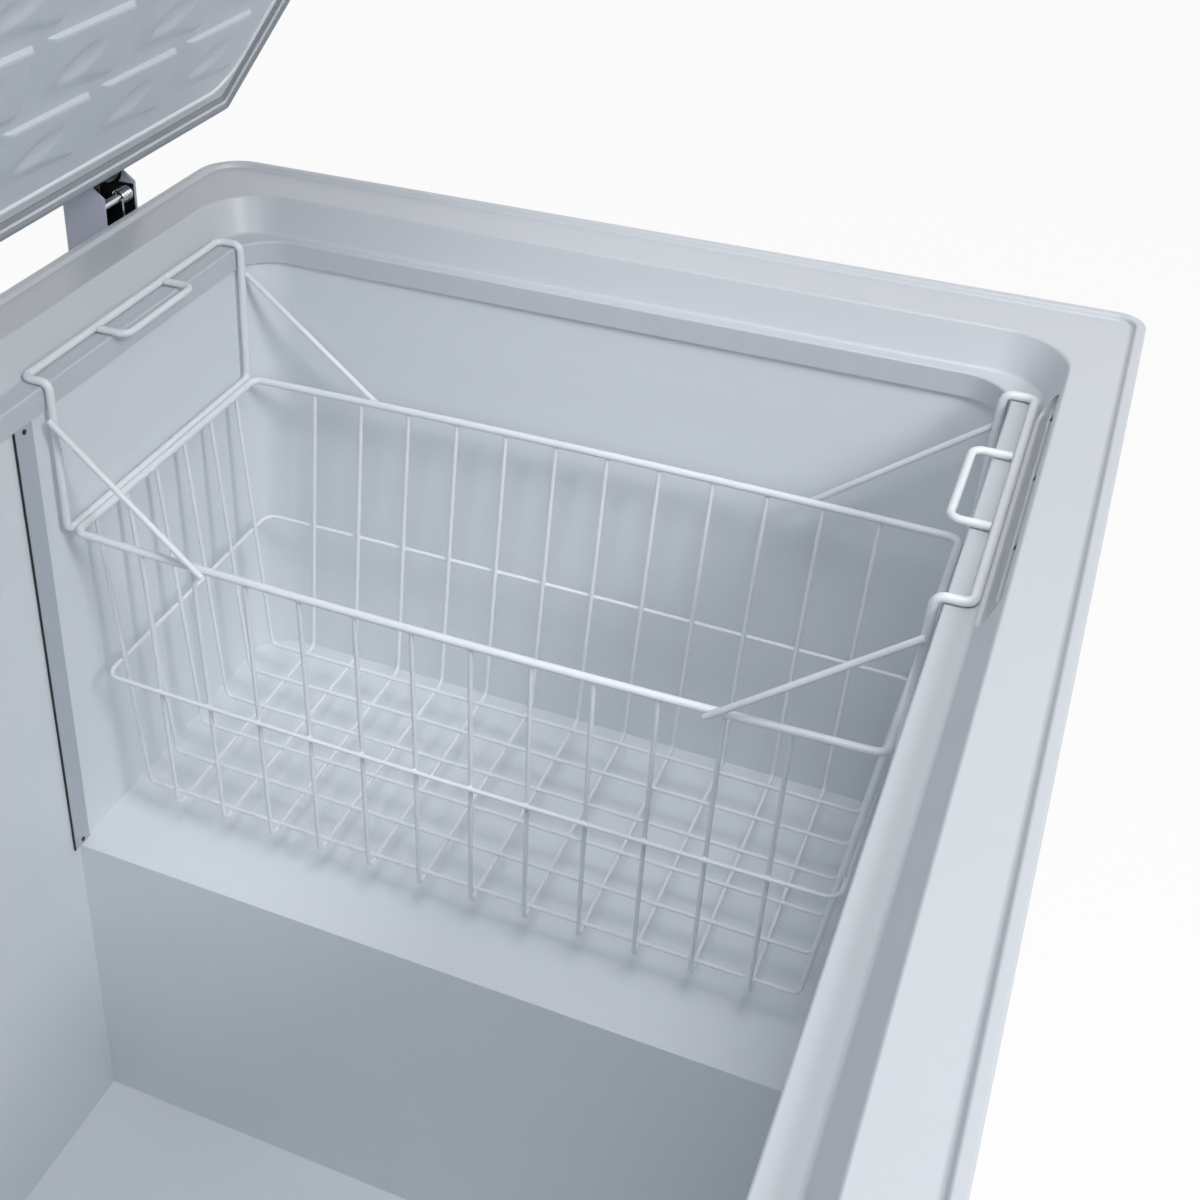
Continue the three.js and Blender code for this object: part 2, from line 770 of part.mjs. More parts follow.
function drainCap() {
  const stem = drain.tubeRadius - drain.tubeWall - fitGap;
  const face = shellFront - 2 * fitGap;
  return union(
    bar("y", drain.capRadius, [drain.x, face - drain.capDepth, outletLevel], drain.capDepth, 24),
    bar("y", stem, [drain.x, face - 1, outletLevel], 12, 24),
  );
}
add("drain_cap", drainCap(), mouldedWhite);

/** The foam keeps clear of everything buried in it by the fit gap. */
function cabinetFoam() {
  const wallBlock = vessel([outerLoop(insideShell, foamBottom), outerLoop(insideShell, foamTop)]);
  const panEdge = ring([
    outerLoop(insideShell - 1, foamBottom - 1),
    outerLoop(insideShell - 1, cabinet.footHeight + machineRoom.panFlange + fitGap),
    outerLoop(insideShell + panPlate + fitGap, cabinet.footHeight + machineRoom.panFlange + fitGap),
    outerLoop(insideShell + panPlate + fitGap, foamBottom - 1),
  ]);
  const room = block(roomFront, halfLength, -halfDepth, halfDepth, 0, roomTop);
  const coilBottom = evaporator.bottom - 2 * evaporator.channel;
  const coilTop = evaporator.bottom + evaporator.turns * evaporator.pitch + evaporator.channel;
  const coil = tubBlock(
    tubOuterEnd - evaporator.channel, tubOuterSide - evaporator.channel,
    tubRadius + evaporator.channel, coilBottom, coilTop,
  );
  const { left, passes, pitch, channel } = condenser;
  const hotWall = block(
    left - channel, roomFront + 5, shellFront - 5, shellFront + cabinet.skin + channel,
    condenserBottom - pitch / 2 - channel, condenserBottom + (passes - 1) * pitch + channel,
  );
  const [suctionX, suctionY] = evaporatorLap()[0];
  const climb = evaporator.bottom - roomTop;
  const suction = bar("z", evaporator.channel / 2, [suctionX, suctionY, roomTop - 5], climb, 12);
  const drainSpace = wire(drainLine(), drain.tubeRadius + 2 * fitGap, 16, new THREE.Vector3(1, 0, 0));
  let foam = wallBlock.subtract(panEdge).subtract(room).subtract(hollowTub(tub.wall + fitGap));
  foam = foam.subtract(coil).subtract(hotWall).subtract(drainSpace).subtract(suction);
  for (const [, x, y] of footPlaces) {
    foam = foam.subtract(bar("z", foot.stemRadius + 1, [x, y, 0], foot.stemLength + 2, 12));
  }
  return foam;
}
add("cabinet_foam", cabinetFoam(), foamTan);

// ---------------------------------------------------------------------------
// Lamp in the front inner face of the frame
// ---------------------------------------------------------------------------

const lampMiddle = halfLength - lamp.centre;
const lampTop = top - frame.wall - 0.8;
const lampBottom = top - frame.ledgeDrop + 0.8;

/** Inset of the steep face at a height, measured from the front of the frame. */
function faceInset(z) {
  return frame.flatSide + (frame.faceRun * (top - z)) / frame.ledgeDrop;
}

function lampCover() {
  const high = lampTop - fitGap;
  const low = lampBottom + fitGap;
  const y = (z, back) => -halfDepth + faceInset(z) - lamp.recess - back;
  const outlineYZ = [
    [y(low, 0), low], [y(high, 0), high], [y(high, lamp.coverWall), high], [y(low, lamp.coverWall), low],
  ];
  const half = lamp.length / 2 - fitGap;
  return prismX(outlineYZ, lampMiddle - half, lampMiddle + half);
}
add("lamp_cover", lampCover(), clear);

function lampHousing() {
  const back = -halfDepth + frame.flatSide - lamp.housingDepth;
  const wall = 1.4;
  const low = lampBottom - 1.4;
  const high = top - frame.wall - fitGap;
  const half = lamp.length / 2 + 4;
  const mouth = (z) => -halfDepth + faceInset(z) - frame.wall - 4 * fitGap;
  const outlineYZ = [
    [back, low], [mouth(low), low], [mouth(high), high], [back, high],
  ];
  const body = prismX(outlineYZ, lampMiddle - half, lampMiddle + half);
  const inside = block(
    lampMiddle - half + wall, lampMiddle + half - wall, back + wall, 0, low + wall, high - wall,
  );
  return body.subtract(inside);
}
add("lamp_housing", lampHousing(), mouldedWhite);

function lampBoard() {
  const back = -halfDepth + frame.flatSide - lamp.housingDepth + 1.4 + fitGap;
  const face = back + lamp.boardThickness;
  const middleZ = (lampTop + lampBottom) / 2;
  let board = block(
    lampMiddle - lamp.length / 2, lampMiddle + lamp.length / 2, back, face, middleZ - 6, middleZ + 6,
  );
  for (const step of [-1, 0, 1]) {
    const x = lampMiddle + lamp.ledShift + step * lamp.ledPitch;
    board = board.add(bar("y", lamp.ledRadius, [x, face - 0.5, middleZ], 3, 12));
  }
  return board;
}
add("lamp_board", lampBoard(), paintWhite);

// ---------------------------------------------------------------------------
// Machine room
// ---------------------------------------------------------------------------

function compressorBody() {
  const { radius: r, height: h, footSpan } = compressor;
  const z = compressorFloor + 4;
  const shell = turned([
    [0, z], [r * 0.55, z], [r * 0.9, z + h * 0.12], [r, z + h * 0.3], [r, z + h * 0.5],
    [r + 2.5, z + h * 0.5], [r + 2.5, z + h * 0.54], [r * 0.98, z + h * 0.54], [r * 0.93, z + h * 0.78],
    [r * 0.7, z + h * 0.94], [r * 0.35, z + h], [0, z + h],
  ], compressorX, compressor.y, 20);
  const half = footSpan + 14;
  let plate = block(
    compressorX - half, compressorX + half, compressor.y - 62, compressor.y + 62,
    compressorFloor, compressorFloor + 5,
  );
  for (const [dx, dy] of mountPlaces) {
    const start = [compressorX + dx, compressor.y + dy, compressorFloor - 4];
    plate = plate.subtract(bar("z", mount.stem + fitGap, start, 14, 12));
  }
  return shell.add(plate);
}

const mountPlaces = [
  [-compressor.footSpan, -compressor.footReach],
  [compressor.footSpan, -compressor.footReach],
  [-compressor.footSpan, compressor.footReach],
  [compressor.footSpan, compressor.footReach],
];
add("compressor", compressorBody(), black);

mountPlaces.forEach(([dx, dy], i) => {
  const low = cabinet.footHeight + panPlate + fitGap;
  const high = compressorFloor - fitGap;
  const tip = high + mount.stemLength;
  const shape = turned([
    [0, low], [mount.radius, low], [mount.radius, low + 5], [mount.waist, low + 10], [mount.radius - 1, high],
    [mount.stem, high], [mount.stem, tip], [0, tip],
  ], compressorX + dx, compressor.y + dy, 12);
  add(`compressor_mount_${i + 1}`, shape, rubber);
});

function startRelay() {
  const face = compressorX - compressor.radius - 2.5 - fitGap;
  const z = compressorFloor + 60;
  return block(face - 34, face, compressor.y - 26, compressor.y + 26, z, z + 56);
}
add("start_relay", startRelay(), black);

/** Leaves the compressor's dome and meets the condenser's lowest pass. */
function dischargeTube() {
  const line = filleted([
    [compressorX + 10, compressor.y, compressorTop + fitGap],
    [compressorX + 10, compressor.y, condenserBottom],
    [compressorX + 10, condenserY, condenserBottom],
    [roomFront + condenser.entry + fitGap, condenserY, condenserBottom],
  ], 14, 3);
  return wire(line, condenser.tubeRadius, 8, new THREE.Vector3(1, 0, 0));
}
add("discharge_tube", dischargeTube(), copper);

/** Follows on from the condenser's returning end. */
function filterDrier() {
  const { radius, length, neck } = drier;
  const profile = [
    [0, 0], [neck, 0], [neck, 8], [radius, 16],
    [radius, length - 16], [neck, length - 8], [neck, length], [0, length],
  ];
  const geometry = new THREE.LatheGeometry(profile.map(([r, h]) => new THREE.Vector2(r, h)), 14);
  const start = condenserY + condenser.pitch / 2 + fitGap;
  geometry.translate(roomFront + condenser.entry, start, condenserBottom - condenser.pitch / 2);
  return solid(geometry);
}
add("filter_drier", filterDrier(), copper);

function cordGland() {
  const face = shellBack + fitGap;
  return union(
    bar("y", gland.radius, [glandX, face - 8, gland.z], 9, 16),
    bar("y", gland.radius + 4, [glandX, face, gland.z], gland.depth - 8, 12),
  ).subtract(bar("y", 3.5, [glandX, face - 20, gland.z], 60, 12));
}
add("power_inlet_gland", cordGland(), black);

// ---------------------------------------------------------------------------
// Control panel, low on the front at the right
// ---------------------------------------------------------------------------

const panelX = halfLength - panel.fromEnd;
const panelZ = panel.height0 + panel.height / 2;
const panelFace = shellFront - fitGap - panel.flangeThickness;
const knobX = panelX + 48;
const rockerX = panelX - 8;
const lensX = panelX - 62;

function controlBezel() {
  const { width, height, flange, flangeThickness, boxDepth, wall } = panel;
  // a block centred on the panel, wider or narrower than it by grow on every side
  const centred = (grow, from, to) => block(
    panelX - width / 2 - grow, panelX + width / 2 + grow, panelFace + from, panelFace + to,
    panelZ - height / 2 - grow, panelZ + height / 2 + grow,
  );
  const body = union(centred(flange, 0, flangeThickness), centred(0, 0, boxDepth));
  let bezel = body.subtract(centred(-wall, flangeThickness, boxDepth + 5));
  bezel = bezel.subtract(bar("y", knob.shaftRadius + fitGap, [knobX, panelFace - 5, panelZ], 12, 16));
  bezel = bezel.subtract(block(
    rockerX - rocker.width / 2 - fitGap, rockerX + rocker.width / 2 + fitGap, panelFace - 5, panelFace + 5,
    panelZ - rocker.height / 2 - fitGap, panelZ + rocker.height / 2 + fitGap,
  ));
  for (const step of [-1, 0, 1]) {
    const start = [lensX + step * lens.pitch, panelFace - 5, panelZ];
    bezel = bezel.subtract(bar("y", lens.radius + fitGap, start, 12, 12));
  }
  return bezel;
}
add("control_bezel", controlBezel(), mouldedWhite);

function thermostatKnob() {
  const { radius, depth, shaftRadius, shaftLength, sides } = knob;
  const front = panelFace - fitGap - depth;
  const skirt = bar("y", radius, [knobX, panelFace - fitGap - 4, panelZ], 4, sides);
  const gripPart = bar("y", radius - 4, [knobX, front, panelZ], depth - 3.5, sides);
  const shaft = bar("y", shaftRadius, [knobX, panelFace - fitGap - 0.5, panelZ], shaftLength, 12);
  return union(skirt, gripPart, shaft);
}
add("thermostat_knob", thermostatKnob(), mouldedWhite);

function thermostatBody() {
  const near = panelFace + panel.flangeThickness + fitGap;
  const body = block(knobX - 18, knobX + 18, near, near + 30, panelZ - 22, panelZ + 22);
  const bore = bar("y", knob.shaftRadius + fitGap, [knobX, near - 5, panelZ], knob.shaftLength + 8, 12);
  return body.subtract(bore);
}
add("thermostat_body", thermostatBody(), black);

function fastFreezeSwitch() {
  const { width, height, depth } = rocker;
  const y = panelFace;
  const outlineYZ = [
    [y + depth, panelZ - height / 2 + 1], [y - 0.4, panelZ - height / 2 + 0.4], [y - 1.2, panelZ],
    [y - 2.4, panelZ + height / 2 - 0.4], [y + depth, panelZ + height / 2 - 1],
  ];
  return prismX(outlineYZ, rockerX - width / 2, rockerX + width / 2);
}
add("fast_freeze_switch", fastFreezeSwitch(), mouldedWhite);

[["power", 0x3cae4a], ["alarm", 0xc93a30], ["freeze", 0xd99a2b]].forEach(([name, colour], i) => {
  const x = lensX + (i - 1) * lens.pitch;
  const shape = bar("y", lens.radius, [x, panelFace - 1, panelZ], 6, 12);
  add(`indicator_${name}`, shape, finish(colour, 0.2));
});

// ---------------------------------------------------------------------------
// Lid, drawn closed and turned open about the hinge axis
// ---------------------------------------------------------------------------

const lidBottom = top + lid.gap;
const lidTop = lidBottom + lid.thickness;

function lidSkin() {
  const { skin: t, flange, edgeRound } = lid;
  return vessel([
    lidLoop(t + 3, lidTop - t),
    lidLoop(t, lidTop - t - 3),
    lidLoop(t, lidBottom + t),
    lidLoop(flange, lidBottom + t),
    lidLoop(flange, lidBottom),
    lidLoop(0, lidBottom),
    lidLoop(0, lidTop - edgeRound),
    lidLoop(edgeRound * 0.3, lidTop - edgeRound * 0.3),
    lidLoop(edgeRound, lidTop),
  ]);
}
add("lid_skin", lidSkin(), paintWhite, lidPivot);

/** Flat border, a step, then the sunk middle; the lift moves the whole surface up. */
function lidLinerLoops(lift) {
  const edge = lid.flange + fitGap;
  const { borderSide, borderEnd, stepRun, borderLevel, innerLevel } = lid;
  return [
    lidLoop(edge, top + borderLevel + lift),
    innerLoop(borderEnd, borderSide, 26, top + borderLevel + lift),
    innerLoop(borderEnd + stepRun, borderSide + stepRun, 21, top + innerLevel + lift),
  ];
}

/** Slanted oblong panels in rows, each one raised from the liner's middle. */
function lidPanels() {
  const { panelPitchX, panelPitchY, panelLength, panelWidth, panelSlant, panelRise, panelMargin } = lid;
  const inset = lid.borderSide + lid.stepRun + panelMargin;
  const columns = Math.floor((cabinet.length - 2 * inset - panelSlant) / panelPitchX);
  const rows = Math.floor((cabinet.depth - 2 * inset) / panelPitchY);
  const face = top + lid.innerLevel;
  const panels = [];
  for (let row = 0; row < rows; row += 1) {
    for (let column = 0; column < columns; column += 1) {
      const x = (column - (columns - 1) / 2) * panelPitchX;
      const y = (row - (rows - 1) / 2) * panelPitchY;
      const corners = (half, reach, lean) => [
        [x - reach - lean, y - half],
        [x + reach - lean, y - half],
        [x + reach + lean, y + half],
        [x - reach + lean, y + half],
      ];
      const lower = corners(panelWidth / 2, panelLength / 2, panelSlant / 2);
      const upper = corners(panelWidth / 2 - 2.5, panelLength / 2 - 2.5, panelSlant / 2);
      panels.push(vessel([
        lower.map(([px, py]) => [px, py, face + 0.7]),
        lower.map(([px, py]) => [px, py, face]),
        upper.map(([px, py]) => [px, py, face - panelRise]),
      ]));
    }
  }
  return panels;
}

function lidLiner() {
  const sheet = vessel([...lidLinerLoops(lid.linerWall).reverse(), ...lidLinerLoops(0)]);
  return sheet.add(wasm.Manifold.compose(lidPanels()));
}
add("lid_liner", lidLiner(), lidCoat, lidPivot);

function lidFoam() {
  const t = lid.skin + fitGap;
  const edge = lid.flange + fitGap;
  const overFlange = lidBottom + t;
  const [, borderIn, middle] = lidLinerLoops(lid.linerWall + fitGap);
  return vessel([
    middle,
    borderIn,
    lidLoop(edge, top + lid.borderLevel + lid.linerWall + fitGap),
    lidLoop(edge, overFlange),
    lidLoop(t, overFlange),
    lidLoop(t, lidTop - t - 4),
    lidLoop(t + 4, lidTop - t),
  ]);
}
add("lid_foam", lidFoam(), foamTan, lidPivot);

function lidGasket() {
  const seat = lidBottom - fitGap;
  const crest = top + gasket.crest;
  const { inset, shoulder, crestInset } = gasket;
  const inner = lid.flange - 0.5;
  return ring([
    lidLoop(inset, seat),
    lidLoop(inset, seat - 2),
    lidLoop(shoulder, crest + 1),
    lidLoop(crestInset, crest),
    lidLoop(crestInset + 3.5, crest + 1.6),
    lidLoop(inner, seat - 2.4),
    lidLoop(inner, seat),
  ]);
}
add("lid_gasket", lidGasket(), gasketGrey, lidPivot);

function lidHandle() {
  const face = -halfDepth - fitGap;
  const high = lidTop - grip.below;
  const { reach, height, wall, length } = grip;
  const outlineYZ = [
    [face, high], [face - reach + 6, high - 1], [face - reach, high - 7], [face - reach, high - height],
    [face - reach + wall - 2, high - height], [face - reach + wall, high - wall - 8],
    [face - wall - 2, high - wall - 2], [face - wall, high - height + 8], [face, high - height + 8],
  ];
  return prismX(outlineYZ, -length / 2, length / 2);
}
add("lid_handle", lidHandle(), mouldedWhite, lidPivot);

// ---------------------------------------------------------------------------
// Hinges
// ---------------------------------------------------------------------------

function hingeHousing(x) {
  const { width, plate, depthBehind, drop, flangeWidth, eyeRadius, pinRadius } = hinge;
  const back = axisY + depthBehind;
  const cheekFront = halfDepth + 3.5;
  const foot0 = axisZ - drop;
  const skirt = top - frame.skirtDrop - fitGap;
  const steps = 6;
  const eye = Array.from({ length: steps + 1 }, (_, i) => {
    const a = Math.PI * (1 - i / steps);
    return [axisY + eyeRadius * Math.cos(a), axisZ + eyeRadius * Math.sin(a)];
  });
  const seat = shellBack + 2 * fitGap;
  const cheekLine = [
    [back, foot0], [seat, foot0], [seat, skirt - 2], [cheekFront, skirt - 2], [cheekFront, axisZ - 6],
    ...eye,
  ].reverse();
  const cheek = (at) => prismX(cheekLine, at, at + plate);
  const flangeAt = (from) => block(from, from + flangeWidth + plate, seat, seat + plate, foot0, skirt - 2);
  const left = x - width / 2;
  const right = x + width / 2;
  const web = block(left, right, back - plate, back, foot0, axisZ - eyeRadius - 2);
  const pinHole = bar("x", pinRadius + fitGap, [left - 5, axisY, axisZ], width + 10, 16);
  const flanges = flangeAt(left - flangeWidth).add(flangeAt(right - plate));
  return union(cheek(left), cheek(right - plate), flanges, web).subtract(pinHole);
}

function hingeLeaf(x) {
  const { width, plate, leafWidth, leafPlate, leafBottom, leafTop, pinRadius } = hinge;
  const face = halfDepth + fitGap;
  const eye = 9;
  const base = block(
    x - leafWidth / 2, x + leafWidth / 2, face, face + leafPlate, axisZ + leafBottom, axisZ + leafTop,
  );
  const steps = 6;
  const round = Array.from({ length: steps + 1 }, (_, i) => {
    const a = Math.PI * (-0.5 + (0.75 * i) / steps);
    return [axisY + eye * Math.cos(a), axisZ + eye * Math.sin(a)];
  });
  const earLine = [
    [face + 0.5, axisZ + leafTop - 4], [face + 0.5, axisZ + leafBottom + 0.5], [axisY - 8, axisZ - eye],
    ...round, [face + leafPlate + 4, axisZ + leafTop - 4],
  ];
  const inside = width / 2 - plate - fitGap;
  const pinHole = bar("x", pinRadius + fitGap, [x - width, axisY, axisZ], 2 * width, 16);
  return union(
    base,
    prismX(earLine, x - inside, x - inside + leafPlate),
    prismX(earLine, x + inside - leafPlate, x + inside),
  ).subtract(pinHole);
}

function hingePin(x) {
  const { width, pinRadius, pinHead } = hinge;
  const left = x - width / 2 - fitGap;
  return union(
    bar("x", pinRadius, [left - 1, axisY, axisZ], width + 2 * fitGap + 2, 16),
    bar("x", pinHead, [left - 2.5, axisY, axisZ], 2.5, 16),
    bar("x", pinHead, [left + width + 2 * fitGap, axisY, axisZ], 2.5, 16),
  );
}

/** A torsion spring round the pin, with a tail that bears on the housing's web. */
function hingeSpring(x) {
  const { pinRadius, springWire, springTurns, width, plate, leafPlate } = hinge;
  const perTurn = 8;
  const radius = (pinRadius + fitGap + springWire) / Math.cos(Math.PI / perTurn);
  const room = width / 2 - plate - leafPlate - 3 * fitGap - springWire;
  const total = springTurns * perTurn;
  const points = [];
  for (let i = 0; i <= total; i += 1) {
    const a = (i / perTurn) * 2 * Math.PI;
    points.push(new THREE.Vector3(
      x - room + (2 * room * i) / total, axisY + radius * Math.cos(a), axisZ - radius * Math.sin(a),
    ));
  }
  const tailEnd = new THREE.Vector3(x + room, axisY + radius, axisZ - 40);
  points.push(tailEnd);
  return wire(points, springWire, 4, new THREE.Vector3(1, 0, 0));
}

for (const [side, sign] of bothEnds) {
  const x = sign * (halfLength - hinge.fromEnd);
  add(`hinge_housing_${side}`, hingeHousing(x), paintWhite);
  add(`hinge_leaf_${side}`, hingeLeaf(x), zincSteel, lidPivot);
  add(`hinge_pin_${side}`, hingePin(x), chrome);
  add(`hinge_spring_${side}`, hingeSpring(x), chrome);
}
freezer.add(lidPivot);

// ---------------------------------------------------------------------------
// Basket
// ---------------------------------------------------------------------------

const basketGroup = new THREE.Group();
basketGroup.position.x = basketX;
freezer.add(basketGroup);
const ringLevel = top - basket.ringDrop;
const hangerLevel = top - frame.ledgeDrop + basket.thick + fitGap;

const topRing = wireOblong({
  halfX: basket.halfShort, halfY: ringHalfLong, z: ringLevel, radius: basket.thick,
  sides: 6, bend: 7, steps: 2, bow: basket.bow, bowSpans: 8,
});
add("basket_ring", topRing, wireWhite, basketGroup);

/** Cross wires pass under the long ones; the mid ring is welded round the outside. */
function basketCage() {
  const { thin, thick, bend, halfShort, bottomHalfShort } = basket;
  const square = thin * 1.25; // corner radius of the four-sided wire
  const side = square * Math.SQRT2; // its side
  const weld = 0.2;
  const wireTop = ringLevel - thick - fitGap;
  const low = top - basket.bottomDrop;
  const wires = [];
  for (let i = 0; i < crossWires; i += 1) {
    const y = (i - (crossWires - 1) / 2) * basket.crossPitch;
    const topHalf = halfShort + bowed(basket.bow, y / ringHalfLong);
    const line = [
      [-topHalf, y, wireTop], [-bottomHalfShort, y, low],
      [bottomHalfShort, y, low], [topHalf, y, wireTop],
    ];
    wires.push(wire(filleted(line, bend, 2), square, 4, new THREE.Vector3(0, 1, 0)));
  }
  const over = low + side - weld;
  for (let i = 0; i < basket.longWires; i += 1) {
    const x = (i - (basket.longWires - 1) / 2) * basket.longPitch + basket.longShift;
    const line = [
      [x, -ringHalfLong, wireTop], [x, -bottomHalfLong, over],
      [x, bottomHalfLong, over], [x, ringHalfLong, wireTop],
    ];
    wires.push(wire(filleted(line, bend, 2), square, 4, new THREE.Vector3(1, 0, 0)));
  }
  const share = (basket.midDrop - basket.ringDrop) / (basket.bottomDrop - basket.ringDrop);
  wires.push(wireOblong({
    halfX: halfShort + (bottomHalfShort - halfShort) * share + side - weld,
    halfY: ringHalfLong - basket.bottomTuck * share + side - weld,
    z: top - basket.midDrop, radius: square, sides: 4, bend: 9, steps: 2,
    bow: basket.bow * (1 - share), bowSpans: 6,
  }));
  return wires.reduce((all, next) => all.add(next));
}
add("basket_cage", basketCage(), wireWhite, basketGroup);

for (const [side, sign] of [["front", -1], ["back", 1]]) {
  const { halfShort, thick, handleWire, handleHalf, handleReach } = basket;
  const upright = sign * hangerUpright;
  const out = sign * hangerOut;
  const loop = [
    [-halfShort, upright, ringLevel], [halfShort, upright, ringLevel], [halfShort, upright, hangerLevel],
    [halfShort, out, hangerLevel], [-halfShort, out, hangerLevel], [-halfShort, upright, hangerLevel],
  ];
  const frameWire = wire(filleted(loop, 5, 2, true), thick, 6, new THREE.Vector3(0, sign, 0), true);
  add(`basket_hanger_${side}`, frameWire, wireWhite, basketGroup);

  const weldLine = out - sign * (thick + fitGap);
  const inner = out - sign * handleReach;
  const handle = wire(filleted([
    [-handleHalf, weldLine, hangerLevel], [-handleHalf, inner, hangerLevel],
    [handleHalf, inner, hangerLevel], [handleHalf, weldLine, hangerLevel],
  ], 6, 3), handleWire, 8, new THREE.Vector3(0, 0, 1));
  add(`basket_handle_${side}`, handle, wireWhite, basketGroup);

  for (const [end, along] of bothEnds) {
    const { braceWire, braceTop, braceTip } = basket;
    // beside the hanger's upright at the top and beside the ring at the foot
    const beside = thick + braceWire + fitGap;
    const start = new THREE.Vector3(along * (halfShort + beside), upright, top - braceTop);
    const passX = halfShort + bowed(basket.bow, braceFoot / ringHalfLong) + beside;
    const pass = new THREE.Vector3(along * passX, sign * braceFoot, ringLevel);
    const tip = pass.clone().addScaledVector(pass.clone().sub(start).normalize(), braceTip);
    const brace = wire([start, tip], braceWire, 6, new THREE.Vector3(1, 0, 0));
    add(`basket_brace_${side}_${end}`, brace, wireWhite, basketGroup);
  }
}

// ---------------------------------------------------------------------------
// Origin: the middle of the whole object on the floor
// ---------------------------------------------------------------------------

freezer.updateMatrixWorld(true);
const whole = new THREE.Box3().setFromObject(freezer, true);
freezer.position.y = -(whole.min.y + whole.max.y) / 2;
freezer.updateMatrixWorld(true);

export default freezer;
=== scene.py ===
"""Chest freezer with its lid open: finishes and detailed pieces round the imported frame."""

import json
import logging
import math
from collections.abc import Callable, Iterable, Sequence
from dataclasses import dataclass
from enum import Enum
from functools import cached_property

import bmesh
import bpy
from mathutils import Matrix, Vector

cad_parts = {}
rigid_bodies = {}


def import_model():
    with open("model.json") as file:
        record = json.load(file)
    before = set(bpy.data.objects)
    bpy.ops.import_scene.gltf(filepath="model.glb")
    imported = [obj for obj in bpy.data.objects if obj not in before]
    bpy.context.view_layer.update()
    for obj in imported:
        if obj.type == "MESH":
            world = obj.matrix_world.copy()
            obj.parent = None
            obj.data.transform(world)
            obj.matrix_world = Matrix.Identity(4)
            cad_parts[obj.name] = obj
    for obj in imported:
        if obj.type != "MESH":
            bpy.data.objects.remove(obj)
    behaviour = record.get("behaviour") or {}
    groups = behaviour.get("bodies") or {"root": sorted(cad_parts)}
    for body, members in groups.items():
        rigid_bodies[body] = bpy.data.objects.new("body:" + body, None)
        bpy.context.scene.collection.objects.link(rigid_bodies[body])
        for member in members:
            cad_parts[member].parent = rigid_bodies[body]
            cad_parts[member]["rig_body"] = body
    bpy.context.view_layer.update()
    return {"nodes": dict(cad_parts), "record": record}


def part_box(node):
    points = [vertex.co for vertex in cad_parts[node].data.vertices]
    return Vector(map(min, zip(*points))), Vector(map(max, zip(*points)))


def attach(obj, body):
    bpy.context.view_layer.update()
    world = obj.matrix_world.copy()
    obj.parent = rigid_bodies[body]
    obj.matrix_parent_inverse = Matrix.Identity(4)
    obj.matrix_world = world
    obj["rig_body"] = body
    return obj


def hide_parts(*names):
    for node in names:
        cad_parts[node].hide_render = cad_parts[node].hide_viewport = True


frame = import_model()
LOG = logging.getLogger("chest_freezer")

Colour = tuple[float, float, float]
Point = tuple[float, float, float]
Inputs = dict[int | str, object]

# ends of the middle stretch of Blender's noise, past which it hardly goes
NOISE_LOW, NOISE_HIGH = 0.3, 0.7


# ---------------------------------------------------------------------------
# Shader expressions
# ---------------------------------------------------------------------------


class Shader:
    """One output of a node; arithmetic on it adds Math nodes."""

    def __init__(self, nodes: "Nodes", socket: bpy.types.NodeSocket) -> None:
        """Wraps a socket of a node tree."""
        self.nodes = nodes
        self.socket = socket

    def _math(self, operation: str, *others: "Shader | float") -> "Shader":
        """Adds one Math node.

        Args:
            operation: the Math node's operation.
            others: the second and third inputs.

        Returns:
            The node's value.
        """
        values = dict(enumerate([self, *others]))
        return self.nodes.value("ShaderNodeMath", {"operation": operation}, values)

    def __add__(self, other: "Shader | float") -> "Shader":
        """This value plus another."""
        return self._math("ADD", other)

    __radd__ = __add__

    def __mul__(self, other: "Shader | float") -> "Shader":
        """This value times another."""
        return self._math("MULTIPLY", other)

    __rmul__ = __mul__

    def largest(self, other: "Shader | float") -> "Shader":
        """The larger of this value and another."""
        return self._math("MAXIMUM", other)

    def ramped(self, low: float, high: float, start: float = 0.0, end: float = 1.0) -> "Shader":
        """Maps low..high smoothly to start..end and holds it there outside.

        Args:
            low: value mapped to start.
            high: value mapped to end.
            start: result at and below low.
            end: result at and above high.

        Returns:
            The mapped value.
        """
        return self.nodes.value(
            "ShaderNodeMapRange",
            {"interpolation_type": "SMOOTHSTEP"},
            {0: self, 1: low, 2: high, 3: start, 4: end},
        )


